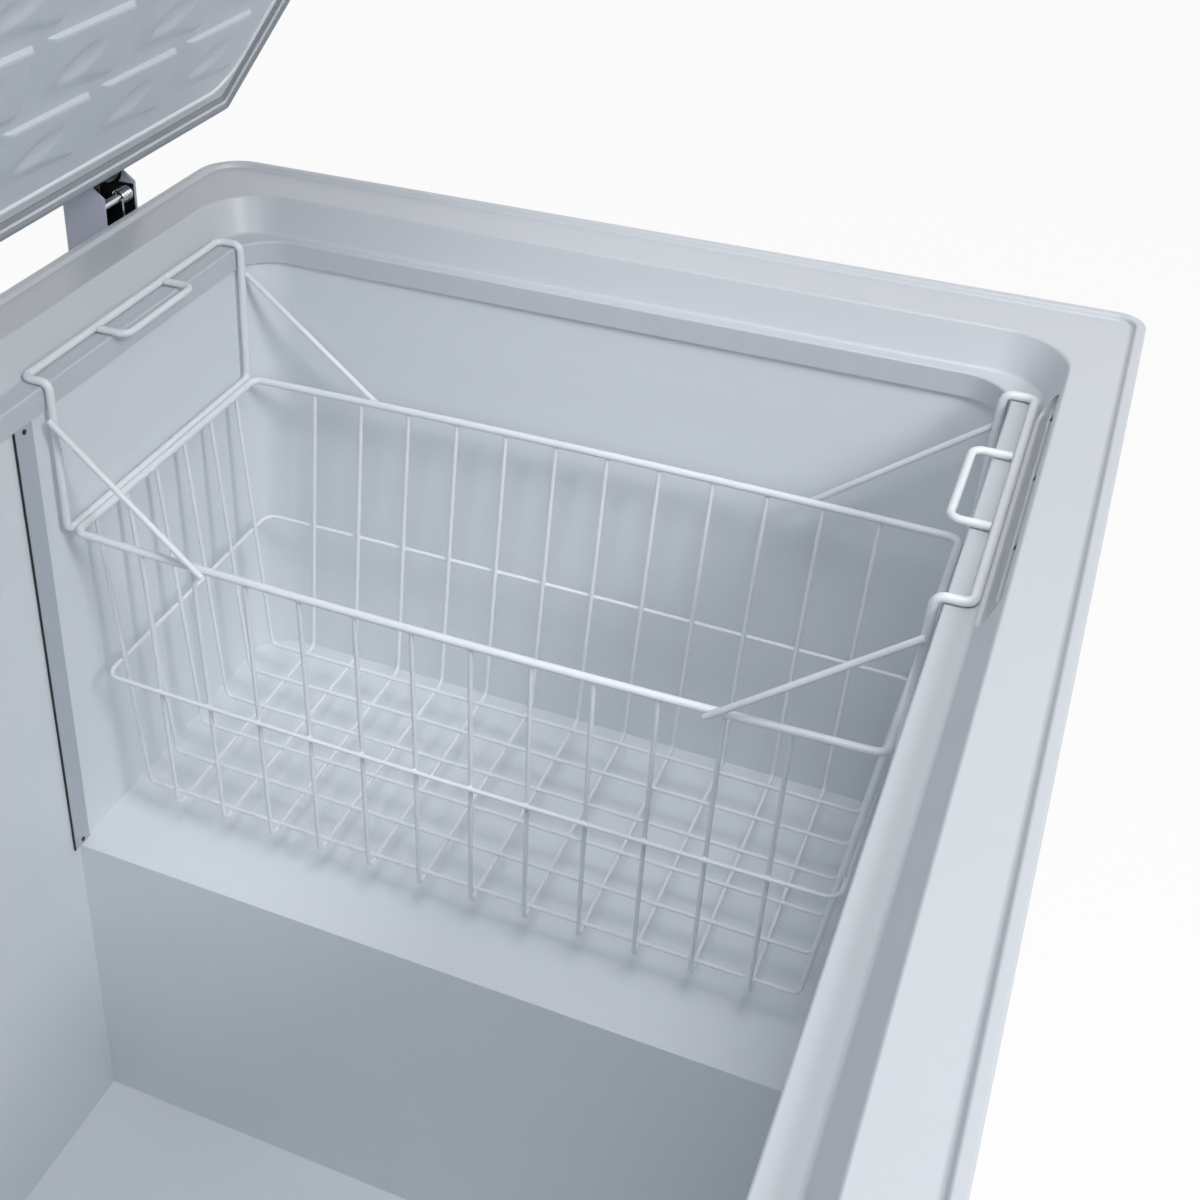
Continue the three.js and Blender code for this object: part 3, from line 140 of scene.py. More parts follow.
class Nodes:
    """The node tree of a material or of the world."""

    def __init__(self, tree: bpy.types.NodeTree) -> None:
        """Takes the tree that the nodes go into."""
        self.tree = tree

    def node(self, kind: str, settings: dict[str, object], sockets: Inputs) -> bpy.types.Node:
        """Adds a node.

        Args:
            kind: the node's type.
            settings: its properties, set before its sockets.
            sockets: values or Shader links by socket name or number.

        Returns:
            The node.
        """
        node = self.tree.nodes.new(kind)
        for name, value in settings.items():
            setattr(node, name, value)
        self.feed(node.name, sockets)
        return node

    def feed(self, node: str, sockets: Inputs) -> None:
        """Links or sets sockets of a node.

        Args:
            node: the node's name.
            sockets: values or Shader links by socket name or number.
        """
        for key, value in sockets.items():
            socket = self.tree.nodes[node].inputs[key]
            if isinstance(value, Shader):
                self.tree.links.new(value.socket, socket)
            else:
                socket.default_value = value

    def value(
        self, kind: str, settings: dict[str, object], sockets: Inputs, output: int | str = 0
    ) -> Shader:
        """Adds a node and takes one of its outputs.

        Args:
            kind: the node's type.
            settings: its properties, set before its sockets.
            sockets: values or Shader links by socket name or number.
            output: the output's name or number.

        Returns:
            The output.
        """
        return Shader(self, self.node(kind, settings, sockets).outputs[output])

    def blended(self, factor: Shader, node: str, second: Shader) -> Shader:
        """Mixes two surface shaders.

        Args:
            factor: share of the second one.
            node: name of the node that gives the first one.
            second: the second one.

        Returns:
            The mixed shader.
        """
        first = Shader(self, self.tree.nodes[node].outputs[0])
        return self.value("ShaderNodeMixShader", {}, {0: factor, 1: first, 2: second})

    def seen_by(self, *rays: str) -> Shader:
        """Tells rays apart.

        Args:
            rays: Light Path's names of some kinds of ray.

        Returns:
            1 for those rays and 0 for others.
        """
        path = self.node("ShaderNodeLightPath", {}, {})
        first, *others = [Shader(self, path.outputs[f"Is {ray} Ray"]) for ray in rays]
        for other in others:
            first = first.largest(other)
        return first


class Surface(Nodes):
    """One material under construction: its Principled shader and the nodes that feed it."""

    def __init__(self, name: str, roughness: float, metallic: float = 0.0) -> None:
        """Starts a material.

        Args:
            name: the material's name.
            roughness: roughness all over the surface.
            metallic: metalness all over the surface.
        """
        self.material = bpy.data.materials.new(name)
        self.material.use_nodes = True
        super().__init__(self.material.node_tree)
        self.put(Roughness=roughness, Metallic=metallic)
        self._place: Shader | None = None

    def put(self, **values: object) -> None:
        """Sets or links sockets of the Principled shader, with _ for a space in their names."""
        sockets = {name.replace("_", " "): value for name, value in values.items()}
        self.feed("Principled BSDF", sockets)

    def place(self) -> Shader:
        """The object coordinates of the point, in metres."""
        if self._place is None:
            self._place = self.value("ShaderNodeTexCoord", {}, {}, "Object")
        return self._place

    def noise(self, scale: float, detail: float, stretch: Point | None = None) -> Shader:
        """Soft noise from 0 to 1.

        Args:
            scale: features to the metre.
            detail: octaves.
            stretch: optional scale of each axis before that.

        Returns:
            The noise value.
        """
        place = self.place()
        if stretch:
            place = self.value("ShaderNodeMapping", {}, {"Vector": place, "Scale": stretch})
        sockets = {"Vector": place, "Scale": scale, "Detail": detail}
        return self.value("ShaderNodeTexNoise", {}, sockets)

    def paint(self, low: Colour, high: Colour, mask: Shader) -> None:
        """Colours the surface between two colours.

        Args:
            low: the colour where the mask is 0.
            high: the colour where it is 1.
            mask: the share of the second colour.
        """
        sockets = {0: mask, 6: (*low, 1.0), 7: (*high, 1.0)}
        self.put(Base_Color=self.value("ShaderNodeMix", {"data_type": "RGBA"}, sockets, 2))

    def polish(self, mask: Shader, roughness: float, swing: float) -> None:
        """Varies the roughness with a noise.

        Args:
            mask: the noise.
            roughness: the middle value.
            swing: how far it goes to either side.
        """
        low, high = roughness - swing, roughness + swing
        self.put(Roughness=mask.ramped(NOISE_LOW, NOISE_HIGH, low, high))

    def raised(self, height: Shader, distance: float) -> None:
        """Feeds a height in 0..1 through a Bump node, as distance in metres."""
        sockets = {"Strength": 1.0, "Distance": distance, "Height": height}
        self.put(Normal=self.value("ShaderNodeBump", {}, sockets))


def srgb(red: int, green: int, blue: int) -> Colour:
    """The linear colour of an everyday one.

    Args:
        red: 0 to 255, as are green and blue.
        green: see red.
        blue: see red.

    Returns:
        The linear colour.
    """

    def linear(value: int) -> float:
        """One channel made linear."""
        share = value / 255
        return share / 12.92 if share <= 0.04045 else ((share + 0.055) / 1.055) ** 2.4

    return linear(red), linear(green), linear(blue)


def shaded(colour: Colour, share: float) -> Colour:
    """A colour made darker or lighter by a share."""
    return tuple(min(1.0, channel * share) for channel in colour)


# ---------------------------------------------------------------------------
# Finishes
# ---------------------------------------------------------------------------


@dataclass(frozen=True)
class Look:
    """What every finish has.

    Attributes:
        name: the material's name.
        colour: its colour.
    """

    name: str
    colour: Colour

    def drifting(self, surface: Surface, share: float, mask: Shader) -> None:
        """Colours a surface a share darker and lighter than the finish's colour, by a mask."""
        surface.paint(shaded(self.colour, 1 - share), shaded(self.colour, 1 + share), mask)


@dataclass(frozen=True)
class Coat(Look):
    """A smooth coat, such as baked paint or powder: faint clouds, orange peel and polish marks.

    Attributes:
        roughness: its roughness.
        clouds: how far the colour drifts, as a share.
        cloud_scale: clouds to the metre.
        peel: height of the orange peel in metres.
        peel_scale: peel dimples to the metre.
        polish_scale: polish marks to the metre.
        coat: strength of a clear layer.
    """

    roughness: float = 0.35
    clouds: float = 0.03
    cloud_scale: float = 4.0
    peel: float = 0.000006
    peel_scale: float = 500.0
    coat: float = 0.0
    polish_scale: float = 30.0

    def material(self) -> bpy.types.Material:
        """Builds the material.

        Returns:
            The material.
        """
        surface = Surface(self.name, self.roughness)
        clouds = surface.noise(self.cloud_scale, 2.0)
        self.drifting(surface, self.clouds, clouds.ramped(NOISE_LOW, NOISE_HIGH))
        surface.polish(surface.noise(self.polish_scale, 4.0), self.roughness, 0.03)
        surface.raised(surface.noise(self.peel_scale, 1.0), self.peel)
        if self.coat:
            surface.put(Coat_Weight=self.coat, Coat_Roughness=0.12)
        return surface.material


@dataclass(frozen=True)
class Rolled(Look):
    """Rolled sheet or brushed metal: fine streaks along one axis.

    Attributes:
        roughness: its roughness.
        metallic: its metalness.
        along: scale of each axis, small along the streaks.
        streaks: how far the streaks change the colour, as a share.
        relief: their height in metres.
    """

    roughness: float = 0.4
    metallic: float = 0.0
    along: Point = (6.0, 300.0, 300.0)
    streaks: float = 0.03
    relief: float = 0.00001

    def material(self) -> bpy.types.Material:
        """Builds the material.

        Returns:
            The material.
        """
        surface = Surface(self.name, self.roughness, self.metallic)
        streaks = surface.noise(1.0, 4.0, self.along)
        mask = streaks * 0.6 + surface.noise(3.0, 2.0) * 0.4
        self.drifting(surface, self.streaks, mask.ramped(NOISE_LOW, NOISE_HIGH))
        surface.polish(streaks, self.roughness, 0.05)
        surface.raised(streaks, self.relief)
        return surface.material


@dataclass(frozen=True)
class Grained(Look):
    """Moulded plastic or rubber with a fine grain and slight sink marks.

    Attributes:
        roughness: its roughness.
        grain: height of the grain in metres.
        grain_scale: grains to the metre.
        drift: how far the colour drifts, as a share.
        alpha: its cover, below 1 for clear plastic.
    """

    roughness: float = 0.5
    grain: float = 0.00004
    grain_scale: float = 1400.0
    drift: float = 0.04
    alpha: float = 1.0

    def material(self) -> bpy.types.Material:
        """Builds the material.

        Returns:
            The material.
        """
        surface = Surface(self.name, self.roughness)
        self.drifting(surface, self.drift, surface.noise(12.0, 3.0).ramped(NOISE_LOW, NOISE_HIGH))
        grain = surface.noise(self.grain_scale, 2.0)
        surface.polish(grain, self.roughness, 0.04)
        surface.raised(grain, self.grain)
        surface.put(Alpha=self.alpha)
        return surface.material


@dataclass(frozen=True)
class Foamed(Look):
    """Cut rigid foam: small round cells, painted darker towards their middles as shade in the
    hollows.

    Attributes:
        cells: number of cells to the metre, and depth their depth in metres.
    """

    cells: float = 700.0
    depth: float = 0.0004

    def material(self) -> bpy.types.Material:
        """Builds the material.

        Returns:
            The material.
        """
        surface = Surface(self.name, 0.9)
        sockets = {"Vector": surface.place(), "Scale": self.cells}
        cell = surface.value("ShaderNodeTexVoronoi", {}, sockets, "Distance")
        # darker towards each cell's middle, where the bump sinks it: painted shade in the hollows
        surface.paint(shaded(self.colour, 0.8), self.colour, cell.ramped(0.1, 0.6))
        surface.raised(cell, self.depth)
        return surface.material


@dataclass(frozen=True)
class Lens(Look):
    """A small tinted lens with faint prism rings behind it.

    Attributes:
        rings: scale of the rings, and depth their height in metres.
        coat: strength of a clear layer.
    """

    rings: float = 180.0
    depth: float = 0.00005
    coat: float = 0.6

    def material(self) -> bpy.types.Material:
        """Builds the material.

        Returns:
            The material.
        """
        surface = Surface(self.name, 0.18)
        settings = {"wave_type": "RINGS", "rings_direction": "Y"}
        sockets = {"Vector": surface.place(), "Scale": self.rings}
        ring = surface.value("ShaderNodeTexWave", settings, sockets, "Fac")
        surface.paint(shaded(self.colour, 0.75), self.colour, ring.ramped(0.2, 0.8))
        surface.raised(ring, self.depth)
        surface.put(Coat_Weight=self.coat)
        return surface.material


class Finish(Enum):
    """Every finish on the object, by the record's material slots and the new pieces' own.

    A denoised picture shows blotches where roughness swings across 0.27, so wide faces keep off it.
    """

    WHITE_PAINT = Coat("white_paint", srgb(226, 229, 233), 0.32, clouds=0.012, coat=0.2)
    FRAME_PLASTIC = Coat("frame_plastic", srgb(204, 208, 214), 0.34, clouds=0.012)
    LINER_SHEET = Rolled("liner_sheet", srgb(226, 231, 236), 0.4, 0.0, (3.0, 3.0, 90.0), 0.008)
    SEAM_METAL = Rolled("seam_metal", srgb(186, 193, 200), 0.4, 0.15, (300.0, 300.0, 4.0))
    LID_LINER_PLASTIC = Coat("lid_liner_plastic", srgb(222, 228, 236), 0.34, clouds=0.015)
    # a lighter copy of the lid liner's plastic for its flat border: painted light
    LID_BORDER_PLASTIC = Coat("lid_border_plastic", srgb(246, 249, 252), 0.34, clouds=0.015)
    # a darker grey-blue copy of the white paint for the hinge housings: painted shade
    HINGE_PAINT = Coat("hinge_paint", srgb(186, 190, 208), 0.34)
    GASKET_VINYL = Grained("gasket_vinyl", srgb(158, 163, 172), 0.42)
    FOAM = Foamed("foam", srgb(226, 214, 172))
    ZINC_STEEL = Rolled("zinc_steel", srgb(178, 182, 185), 0.42, 0.85, (40.0, 40.0, 40.0), 0.08)
    CHROME_STEEL = Rolled("chrome_steel", srgb(212, 216, 220), 0.16, 1.0, (500.0, 20.0, 20.0))
    COPPER_TUBE = Rolled("copper_tube", srgb(190, 112, 66), 0.32, 1.0, (60.0, 60.0, 60.0), 0.1)
    BLACK_ENAMEL = Coat("black_enamel", srgb(26, 27, 29), 0.32, coat=0.4)
    BLACK_PLASTIC = Grained("black_plastic", srgb(30, 31, 33), 0.55)
    MOUNT_RUBBER = Grained("mount_rubber", srgb(34, 34, 35), 0.75, 0.00008, 900.0)
    CLEAR_PLASTIC = Grained("clear_plastic", srgb(232, 236, 240), 0.2, alpha=0.45)
    BOARD = Grained("board", srgb(228, 230, 232), 0.5)
    WHITE_PLASTIC = Grained("white_plastic", srgb(222, 225, 229), 0.4, 0.00002)
    LENS_GREEN = Lens("lens_green", srgb(92, 196, 104))
    LENS_RED = Lens("lens_red", srgb(206, 74, 66))
    LENS_AMBER = Lens("lens_amber", srgb(224, 164, 64))
    BASKET_WIRE = Coat("basket_wire", srgb(235, 239, 243), 0.34, 0.02, 20.0, 0.00001, 900.0)


class Palette:
    """Builds each material once and hands it out."""

    def __init__(self) -> None:
        """Starts with no materials."""
        self._made: dict[Finish, bpy.types.Material] = {}

    def of(self, finish: Finish) -> bpy.types.Material:
        """The material of a finish.

        Args:
            finish: the finish.

        Returns:
            Its material.
        """
        if finish not in self._made:
            self._made[finish] = finish.value.material()
        return self._made[finish]


PALETTE = Palette()
SLOT_FINISH = {
    part["node"]: Finish[part["material_slot"].upper()] for part in frame["record"]["subparts"]
}
NODE_BODY = {name: piece["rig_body"] for name, piece in frame["nodes"].items()}


# ---------------------------------------------------------------------------
# Modelling bench
# ---------------------------------------------------------------------------

SAME = 1e-6  # vertices closer than this, in metres, are one
SHARP = 60.0  # degrees over which every edge of a plain block or rod is sharp
APART = 0.2  # metres between stacked outlines
SHEET = 28.0  # degrees under which the faces of a moulded or folded sheet shade as one
UP = Vector((0, 0, 1))
RIGHTWARDS = Vector((1, 0, 0))


def make_active(piece: bpy.types.Object) -> None:
    """Leaves only one piece selected, and active.

    Args:
        piece: the piece.
    """
    deselect_all()
    piece.select_set(True)
    bpy.context.view_layer.objects.active = piece


def deselect_all() -> None:
    """Leaves nothing selected in object mode."""
    if bpy.context.object and bpy.context.object.mode != "OBJECT":
        bpy.ops.object.mode_set(mode="OBJECT")
    for piece in bpy.context.selected_objects:
        piece.select_set(False)


def rounded(place: Vector) -> Point:
    """A place to the nearest hundredth of a millimetre, to find it again."""
    return tuple(round(value, 5) for value in place)


@dataclass(frozen=True)
class Outline:
    """A level rounded oblong about the cabinet's middle.

    Attributes:
        inset_x: how far it lies inside the cabinet's outline at the ends.
        inset_y: the same at the front and back.
        z: its height.
        front: radius of its front corners.
        back: radius of its back corners.
    """

    inset_x: float
    inset_y: float
    z: float
    front: float
    back: float

    @property
    def low(self) -> Vector:
        """Its lower corner."""
        low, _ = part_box("top_frame")
        return Vector((low[0] + self.inset_x, low[1] + self.inset_y, self.z))

    @property
    def high(self) -> Vector:
        """Its upper corner, at the same height."""
        _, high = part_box("top_frame")
        return Vector((high[0] - self.inset_x, high[1] - self.inset_y, self.z))


# corner radii seen from above, in metres
CABINET_FRONT, CABINET_BACK, LID_CORNER, SMALLEST_CORNER = 0.017, 0.03, 0.006, 0.0015


def outer(inset: float, z: float) -> Outline:
    """An outline inside the cabinet's own by an inset."""
    front, back = (max(r - inset, SMALLEST_CORNER) for r in (CABINET_FRONT, CABINET_BACK))
    return Outline(inset, inset, z, front, back)


def inner(inset_x: float, inset_y: float, radius: float, z: float) -> Outline:
    """An outline with its own insets and one radius."""
    return Outline(inset_x, inset_y, z, radius, radius)


def lid_line(inset: float, z: float) -> Outline:
    """An outline inside the lid's own by an inset."""
    return inner(inset, inset, max(LID_CORNER - inset, SMALLEST_CORNER), z)


class Bench:
    """One new piece, shaped in edit mode with Blender's own operators."""

    def __init__(self, name: str, mesh: bpy.types.Mesh | None = None) -> None:
        """Starts a piece and enters edit mode.

        Args:
            name: the piece's name.
            mesh: an existing mesh to work on, or none for an empty one.
        """
        self.piece = bpy.data.objects.new(name, mesh or bpy.data.meshes.new(name))
        bpy.context.scene.collection.objects.link(self.piece)
        make_active(self.piece)
        bpy.ops.object.mode_set(mode="EDIT")

    def all(self) -> None:
        """Selects everything."""
        bpy.ops.mesh.select_all(action="SELECT")

    def none(self, mode: str | None = None) -> None:
        """Selects nothing.

        Args:
            mode: VERT or EDGE to select those from here on, or none to leave that.
        """
        if mode:
            bpy.ops.mesh.select_mode(type=mode)
        bpy.ops.mesh.select_all(action="DESELECT")

    def choose(self, test: Callable[[Vector], bool]) -> None:
        """Selects the vertices whose place passes a test.

        Args:
            test: takes the place.
        """
        self.none("VERT")
        made = bmesh.from_edit_mesh(self.piece.data)
        for vertex in made.verts:
            vertex.select_set(test(vertex.co))
        made.select_flush_mode()
        bmesh.update_edit_mesh(self.piece.data)

    def chosen(self) -> set[Point]:
        """The places of the selected vertices."""
        made = bmesh.from_edit_mesh(self.piece.data)
        return {rounded(vertex.co) for vertex in made.verts if vertex.select}

    def choose_outline(self, outline: set[Point]) -> None:
        """Selects the vertices and edges of one of a loft's outlines."""
        self.choose(lambda place: rounded(place) in outline)

    def choose_sharp(self, test: Callable[[Vector], bool] = lambda middle: True) -> None:
        """Selects the sharp edges whose middle passes a test.

        Args:
            test: takes the edge's middle.
        """
        self.none("EDGE")
        made = bmesh.from_edit_mesh(self.piece.data)
        for edge in made.edges:
            if len(edge.link_faces) == 2 and edge.calc_face_angle(0.0) > math.radians(SHARP):
                edge.select_set(test((edge.verts[0].co + edge.verts[1].co) / 2))
        bmesh.update_edit_mesh(self.piece.data)

    def move(self, place: Callable[[Vector], Point]) -> None:
        """Moves every vertex.

        Args:
            place: takes a vertex's place and gives its new one.
        """
        made = bmesh.from_edit_mesh(self.piece.data)
        for vertex in made.verts:
            vertex.co = place(vertex.co)
        bmesh.update_edit_mesh(self.piece.data)

    def scale(self, x: float, y: float, z: float, centre: Vector) -> None:
        """Scales what is selected about a point."""
        bpy.ops.transform.resize(value=(x, y, z), center_override=centre)

    def extrude(self, offset: Iterable[float]) -> None:
        """Extrudes what is selected by an offset."""
        bpy.ops.mesh.extrude_region_move(TRANSFORM_OT_translate={"value": tuple(offset)})

    def bevel(self, width: float, segments: int, affect: str = "EDGES") -> None:
        """Bevels what is selected.

        Args:
            width: of the bevel.
            segments: steps in it.
            affect: EDGES, or VERTICES for the corners of a face.
        """
        bpy.ops.mesh.bevel(
            offset_type="OFFSET", offset=width, segments=segments, profile=0.5, affect=affect,
            clamp_overlap=True,
        )

    def chamfer(self, width: float, segments: int) -> None:
        """Rounds every sharp edge."""
        self.choose_sharp()
        self.bevel(width, segments)

    def box(self, low: Sequence[float], high: Sequence[float]) -> None:
        """Adds a block and leaves it selected.

        Args:
            low: its lowest corner.
            high: its highest corner.
        """
        low, high = Vector(low), Vector(high)
        bpy.ops.mesh.primitive_cube_add(size=1, location=(low + high) / 2)
        self.scale(*(high - low), (low + high) / 2)

    def ring(self, centre: Vector, normal: Vector, radius: float, sides: int, fill: str) -> None:
        """Adds a circle and leaves only it selected.

        Args:
            centre: its middle.
            normal: the way it faces.
            radius: of the circle.
            sides: number of its straight sides.
            fill: NGON for a disc or NOTHING for a line.
        """
        self.none()
        bpy.ops.mesh.primitive_circle_add(
            vertices=sides, radius=radius, fill_type=fill, location=centre,
            rotation=normal.to_track_quat("Z", "Y").to_euler(),
        )

    def rod(self, start: Vector, along: Vector, length: float, radius: float, sides: int) -> None:
        """Adds a closed rod.

        Args:
            start: middle of its first end.
            along: the way it runs, of length 1.
            length: of the rod.
            radius: of the rod.
            sides: number of its straight sides.
        """
        self.ring(start, along, radius, sides, "NGON")
        self.extrude(value * length for value in along)

    def oblong(self, outline: Outline, lift: Vector, segments: int) -> None:
        """Adds the line of a rounded oblong.

        Args:
            outline: the oblong.
            lift: how far it is moved.
            segments: straight steps in each corner.
        """
        low, high = outline.low + lift, outline.high + lift
        centre = (low + high) / 2
        self.none("VERT")
        bpy.ops.mesh.primitive_plane_add(size=1, location=centre)
        self.scale(high.x - low.x, high.y - low.y, 1, centre)
        for radius, y in ((outline.front, low.y), (outline.back, high.y)):
            corners = [Vector((x, y, low.z)) for x in (low.x, high.x)]
            self.choose(lambda place: any((place - corner).length < SAME for corner in corners))
            self.bevel(radius, segments, "VERTICES")

    def loft(self, outlines: Sequence[Outline], segments: int, closed: bool) -> list[set[Point]]:
        """Skins over a row of level outlines.

        Args:
            outlines: the outlines in order.
            segments: straight steps in each rounded corner.
            closed: whether the last one joins the first; if not, both ends are capped.

        Returns:
            The places of each outline's vertices, for choosing them later.
        """
        made = []
        # bridging two outlines at one height can twist them, so they are stacked and let down after
        apart = APART * UP
        for number, outline in enumerate(outlines):
            self.oblong(outline, number * apart, segments)
            bpy.ops.mesh.select_linked()
            made.append(self.chosen())
            bpy.ops.mesh.delete(type="ONLY_FACE")
        followers = made[1:] + made[:1] if closed else made[1:]
        for first, second in zip(made, followers):
            self.choose_outline(first | second)
            bpy.ops.mesh.bridge_edge_loops()
        if not closed:
            for end in (made[0], made[-1]):
                self.choose_outline(end)
                bpy.ops.mesh.edge_face_add()
        lowered = []
        for number, outline in enumerate(made):
            self.choose_outline(outline)
            bpy.ops.transform.translate(value=-number * apart)
            lowered.append(self.chosen())
        return lowered

    def ease(self, outline: set[Point], width: float, segments: int = 3) -> None:
        """Rounds the edges that run along one of a loft's outlines.

        Args:
            outline: the places of its vertices.
            width: of the rounding.
            segments: steps in it.
        """
        self.choose_outline(outline)
        bpy.ops.mesh.select_mode(type="EDGE")
        self.bevel(width, segments)

    def close_ends(self) -> None:
        """Closes every open end."""
        self.all()
        bpy.ops.mesh.fill_holes(sides=0)

    def done(self, smooth: float = 30.0, merge: float = SAME) -> bpy.types.Object:
        """Merges doubles, turns the faces outwards, leaves edit mode and smooths.

        Args:
            smooth: angle in degrees under which faces shade as one.
            merge: distance under which vertices merge.

        Returns:
            The piece.
        """
        self.all()
        bpy.ops.mesh.remove_doubles(threshold=merge)
        bpy.ops.mesh.normals_make_consistent(inside=False)
        bpy.ops.object.mode_set(mode="OBJECT")
        bpy.ops.object.shade_smooth_by_angle(angle=math.radians(smooth))
        return self.piece


def modify(piece: bpy.types.Object, kind: str, **settings: object) -> None:
    """Adds a modifier to a piece and applies it.

    Args:
        piece: the piece.
        kind: the modifier's type.
        settings: its properties.
    """
    make_active(piece)
    modifier = piece.modifiers.new(kind.lower(), kind)
    for name, value in settings.items():
        setattr(modifier, name, value)
    bpy.ops.object.modifier_apply(modifier=modifier.name)


def even_shading(piece: bpy.types.Object, smooth: float) -> None:
    """Smooths a piece and lets its large faces set the shading next to their edges.

    Args:
        piece: the piece.
        smooth: angle in degrees under which faces shade as one.
    """
    make_active(piece)
    bpy.ops.object.shade_smooth_by_angle(angle=math.radians(smooth))
    modify(piece, "WEIGHTED_NORMAL", keep_sharp=True, weight=80)


def carve(piece: bpy.types.Object, cutter: bpy.types.Object) -> None:
    """Cuts one piece out of another and removes the cutter."""
    modify(piece, "BOOLEAN", object=cutter, operation="DIFFERENCE", solver="EXACT")
    bpy.data.objects.remove(cutter)


def cleaned(piece: bpy.types.Object) -> bpy.types.Object:
    """Merges what a cut left doubled, turns the faces outwards and smooths a sheet.

    Args:
        piece: the piece.

    Returns:
        The piece.
    """
    make_active(piece)
    bpy.ops.object.mode_set(mode="EDIT")
    bpy.ops.mesh.select_all(action="SELECT")
    bpy.ops.mesh.remove_doubles(threshold=SAME)
    bpy.ops.mesh.normals_make_consistent(inside=False)
    bpy.ops.object.mode_set(mode="OBJECT")
    even_shading(piece, SHEET)
    return piece


def hand_over(piece: bpy.types.Object, body: str, finish: Finish, *nodes: str) -> None:
    """Gives a finished piece its material, its body and the CAD nodes it stands for.

    Args:
        piece: the finished piece.
        body: the body it rides on.
        finish: its finish.
        nodes: the CAD nodes it replaces.
    """
    piece.data.materials.clear()
    piece.data.materials.append(PALETTE.of(finish))
    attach(piece, body)
    if nodes:
        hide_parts(*nodes)
    LOG.info("%s: %d faces on %s", piece.name, len(piece.data.polygons), body)


def softened(node: str, edge: float = 0.0006, finish: Finish | None = None) -> None:
    """Stands in for a CAD node: its loose triangles joined, its flats made whole, its edges eased.

    Args:
        node: the CAD node.
        edge: radius of the eased edges in metres.
        finish: its finish, when that isn't the one of its slot.
    """
    sharp = 32.0
    bench = Bench(f"{node}_finished", frame["nodes"][node].data.copy())
    bench.all()
    bpy.ops.mesh.remove_doubles(threshold=SAME)
    bpy.ops.mesh.tris_convert_to_quads(face_threshold=0.002, shape_threshold=1.2)
    piece = bench.done(sharp)
    modify(
        piece, "BEVEL", width=edge, segments=2, limit_method="ANGLE",
        angle_limit=math.radians(sharp), use_clamp_overlap=True,
    )
    even_shading(piece, sharp)
    hand_over(piece, NODE_BODY[node], finish or SLOT_FINISH[node], node)


# ---------------------------------------------------------------------------
# Wire
# ---------------------------------------------------------------------------


class Wire:
    """A round wire: a circle extruded along its straights and spun round its bends."""

    SIDES = 12
    STEP = 15.0  # degrees to each straight step of a bend

    def __init__(self, bench: Bench, start: Vector, direction: Vector, radius: float) -> None:
        """Adds the wire's first circle.

        Args:
            bench: the piece under construction.
            start: middle of the wire's first end.
            direction: the way it sets off.
            radius: the wire's radius.
        """
        self.bench = bench
        self.here = start.copy()
        self.direction = direction.normalized()
        bench.none("VERT")
        bench.ring(self.here, self.direction, radius, self.SIDES, "NOTHING")

    def ahead(self, distance: float) -> "Wire":
        """Runs straight on.

        Args:
            distance: how far.

        Returns:
            The wire.
        """
        step = self.direction * distance
        self.bench.extrude(step)
        self.here += step
        return self

    def turn(self, radius: float, degrees: float, axis: Vector, steps: int = 0) -> "Wire":
        """Bends round an axis to the left of the way it runs, seen from the axis's tip.

        Args:
            radius: of the bend, at the wire's middle.
            degrees: how far it turns.
            axis: the bend's axis.
            steps: straight steps in the bend, or 0 for even ones.

        Returns:
            The wire.
        """
        axis = axis.normalized()
        centre = self.here + axis.cross(self.direction) * radius
        angle = math.radians(degrees)
        count = steps or max(2, math.ceil(abs(degrees) / self.STEP))
        # spin turns against the right-hand rule
        bpy.ops.mesh.spin(steps=count, dupli=False, angle=-angle, center=centre, axis=axis)
        turning = Matrix.Rotation(angle, 3, axis)
        self.here = centre + turning @ (self.here - centre)
        self.direction = turning @ self.direction
        return self

    def through(self, points: Sequence[Vector], bend: float) -> "Wire":
        """Runs through a line of corners, with a bend at each one but the last.

        Args:
            points: the corners after the start, the last being the wire's end.
            bend: radius of each bend.

        Returns:
            The wire.
        """
        for corner, after in zip(points, points[1:]):
            out = (after - corner).normalized()
            angle = self.direction.angle(out)
            reach = bend * math.tan(angle / 2)
            self.ahead((corner - self.here).length - reach)
            self.turn(bend, math.degrees(angle), self.direction.cross(out))
        return self.ahead((points[-1] - self.here).length)


class Side(Enum):
    """Front or back of the cabinet, as a sign along Y."""

    FRONT = -1
    BACK = 1


class End(Enum):
    """Left or right end, as a sign along X."""

    LEFT = -1
    RIGHT = 1


def name_of(*choices: Enum) -> str:
    """The small-letter name of one choice or several, as the frame writes it."""
    return "_".join(choice.name.lower() for choice in choices)


# ---------------------------------------------------------------------------
# Cabinet
# ---------------------------------------------------------------------------


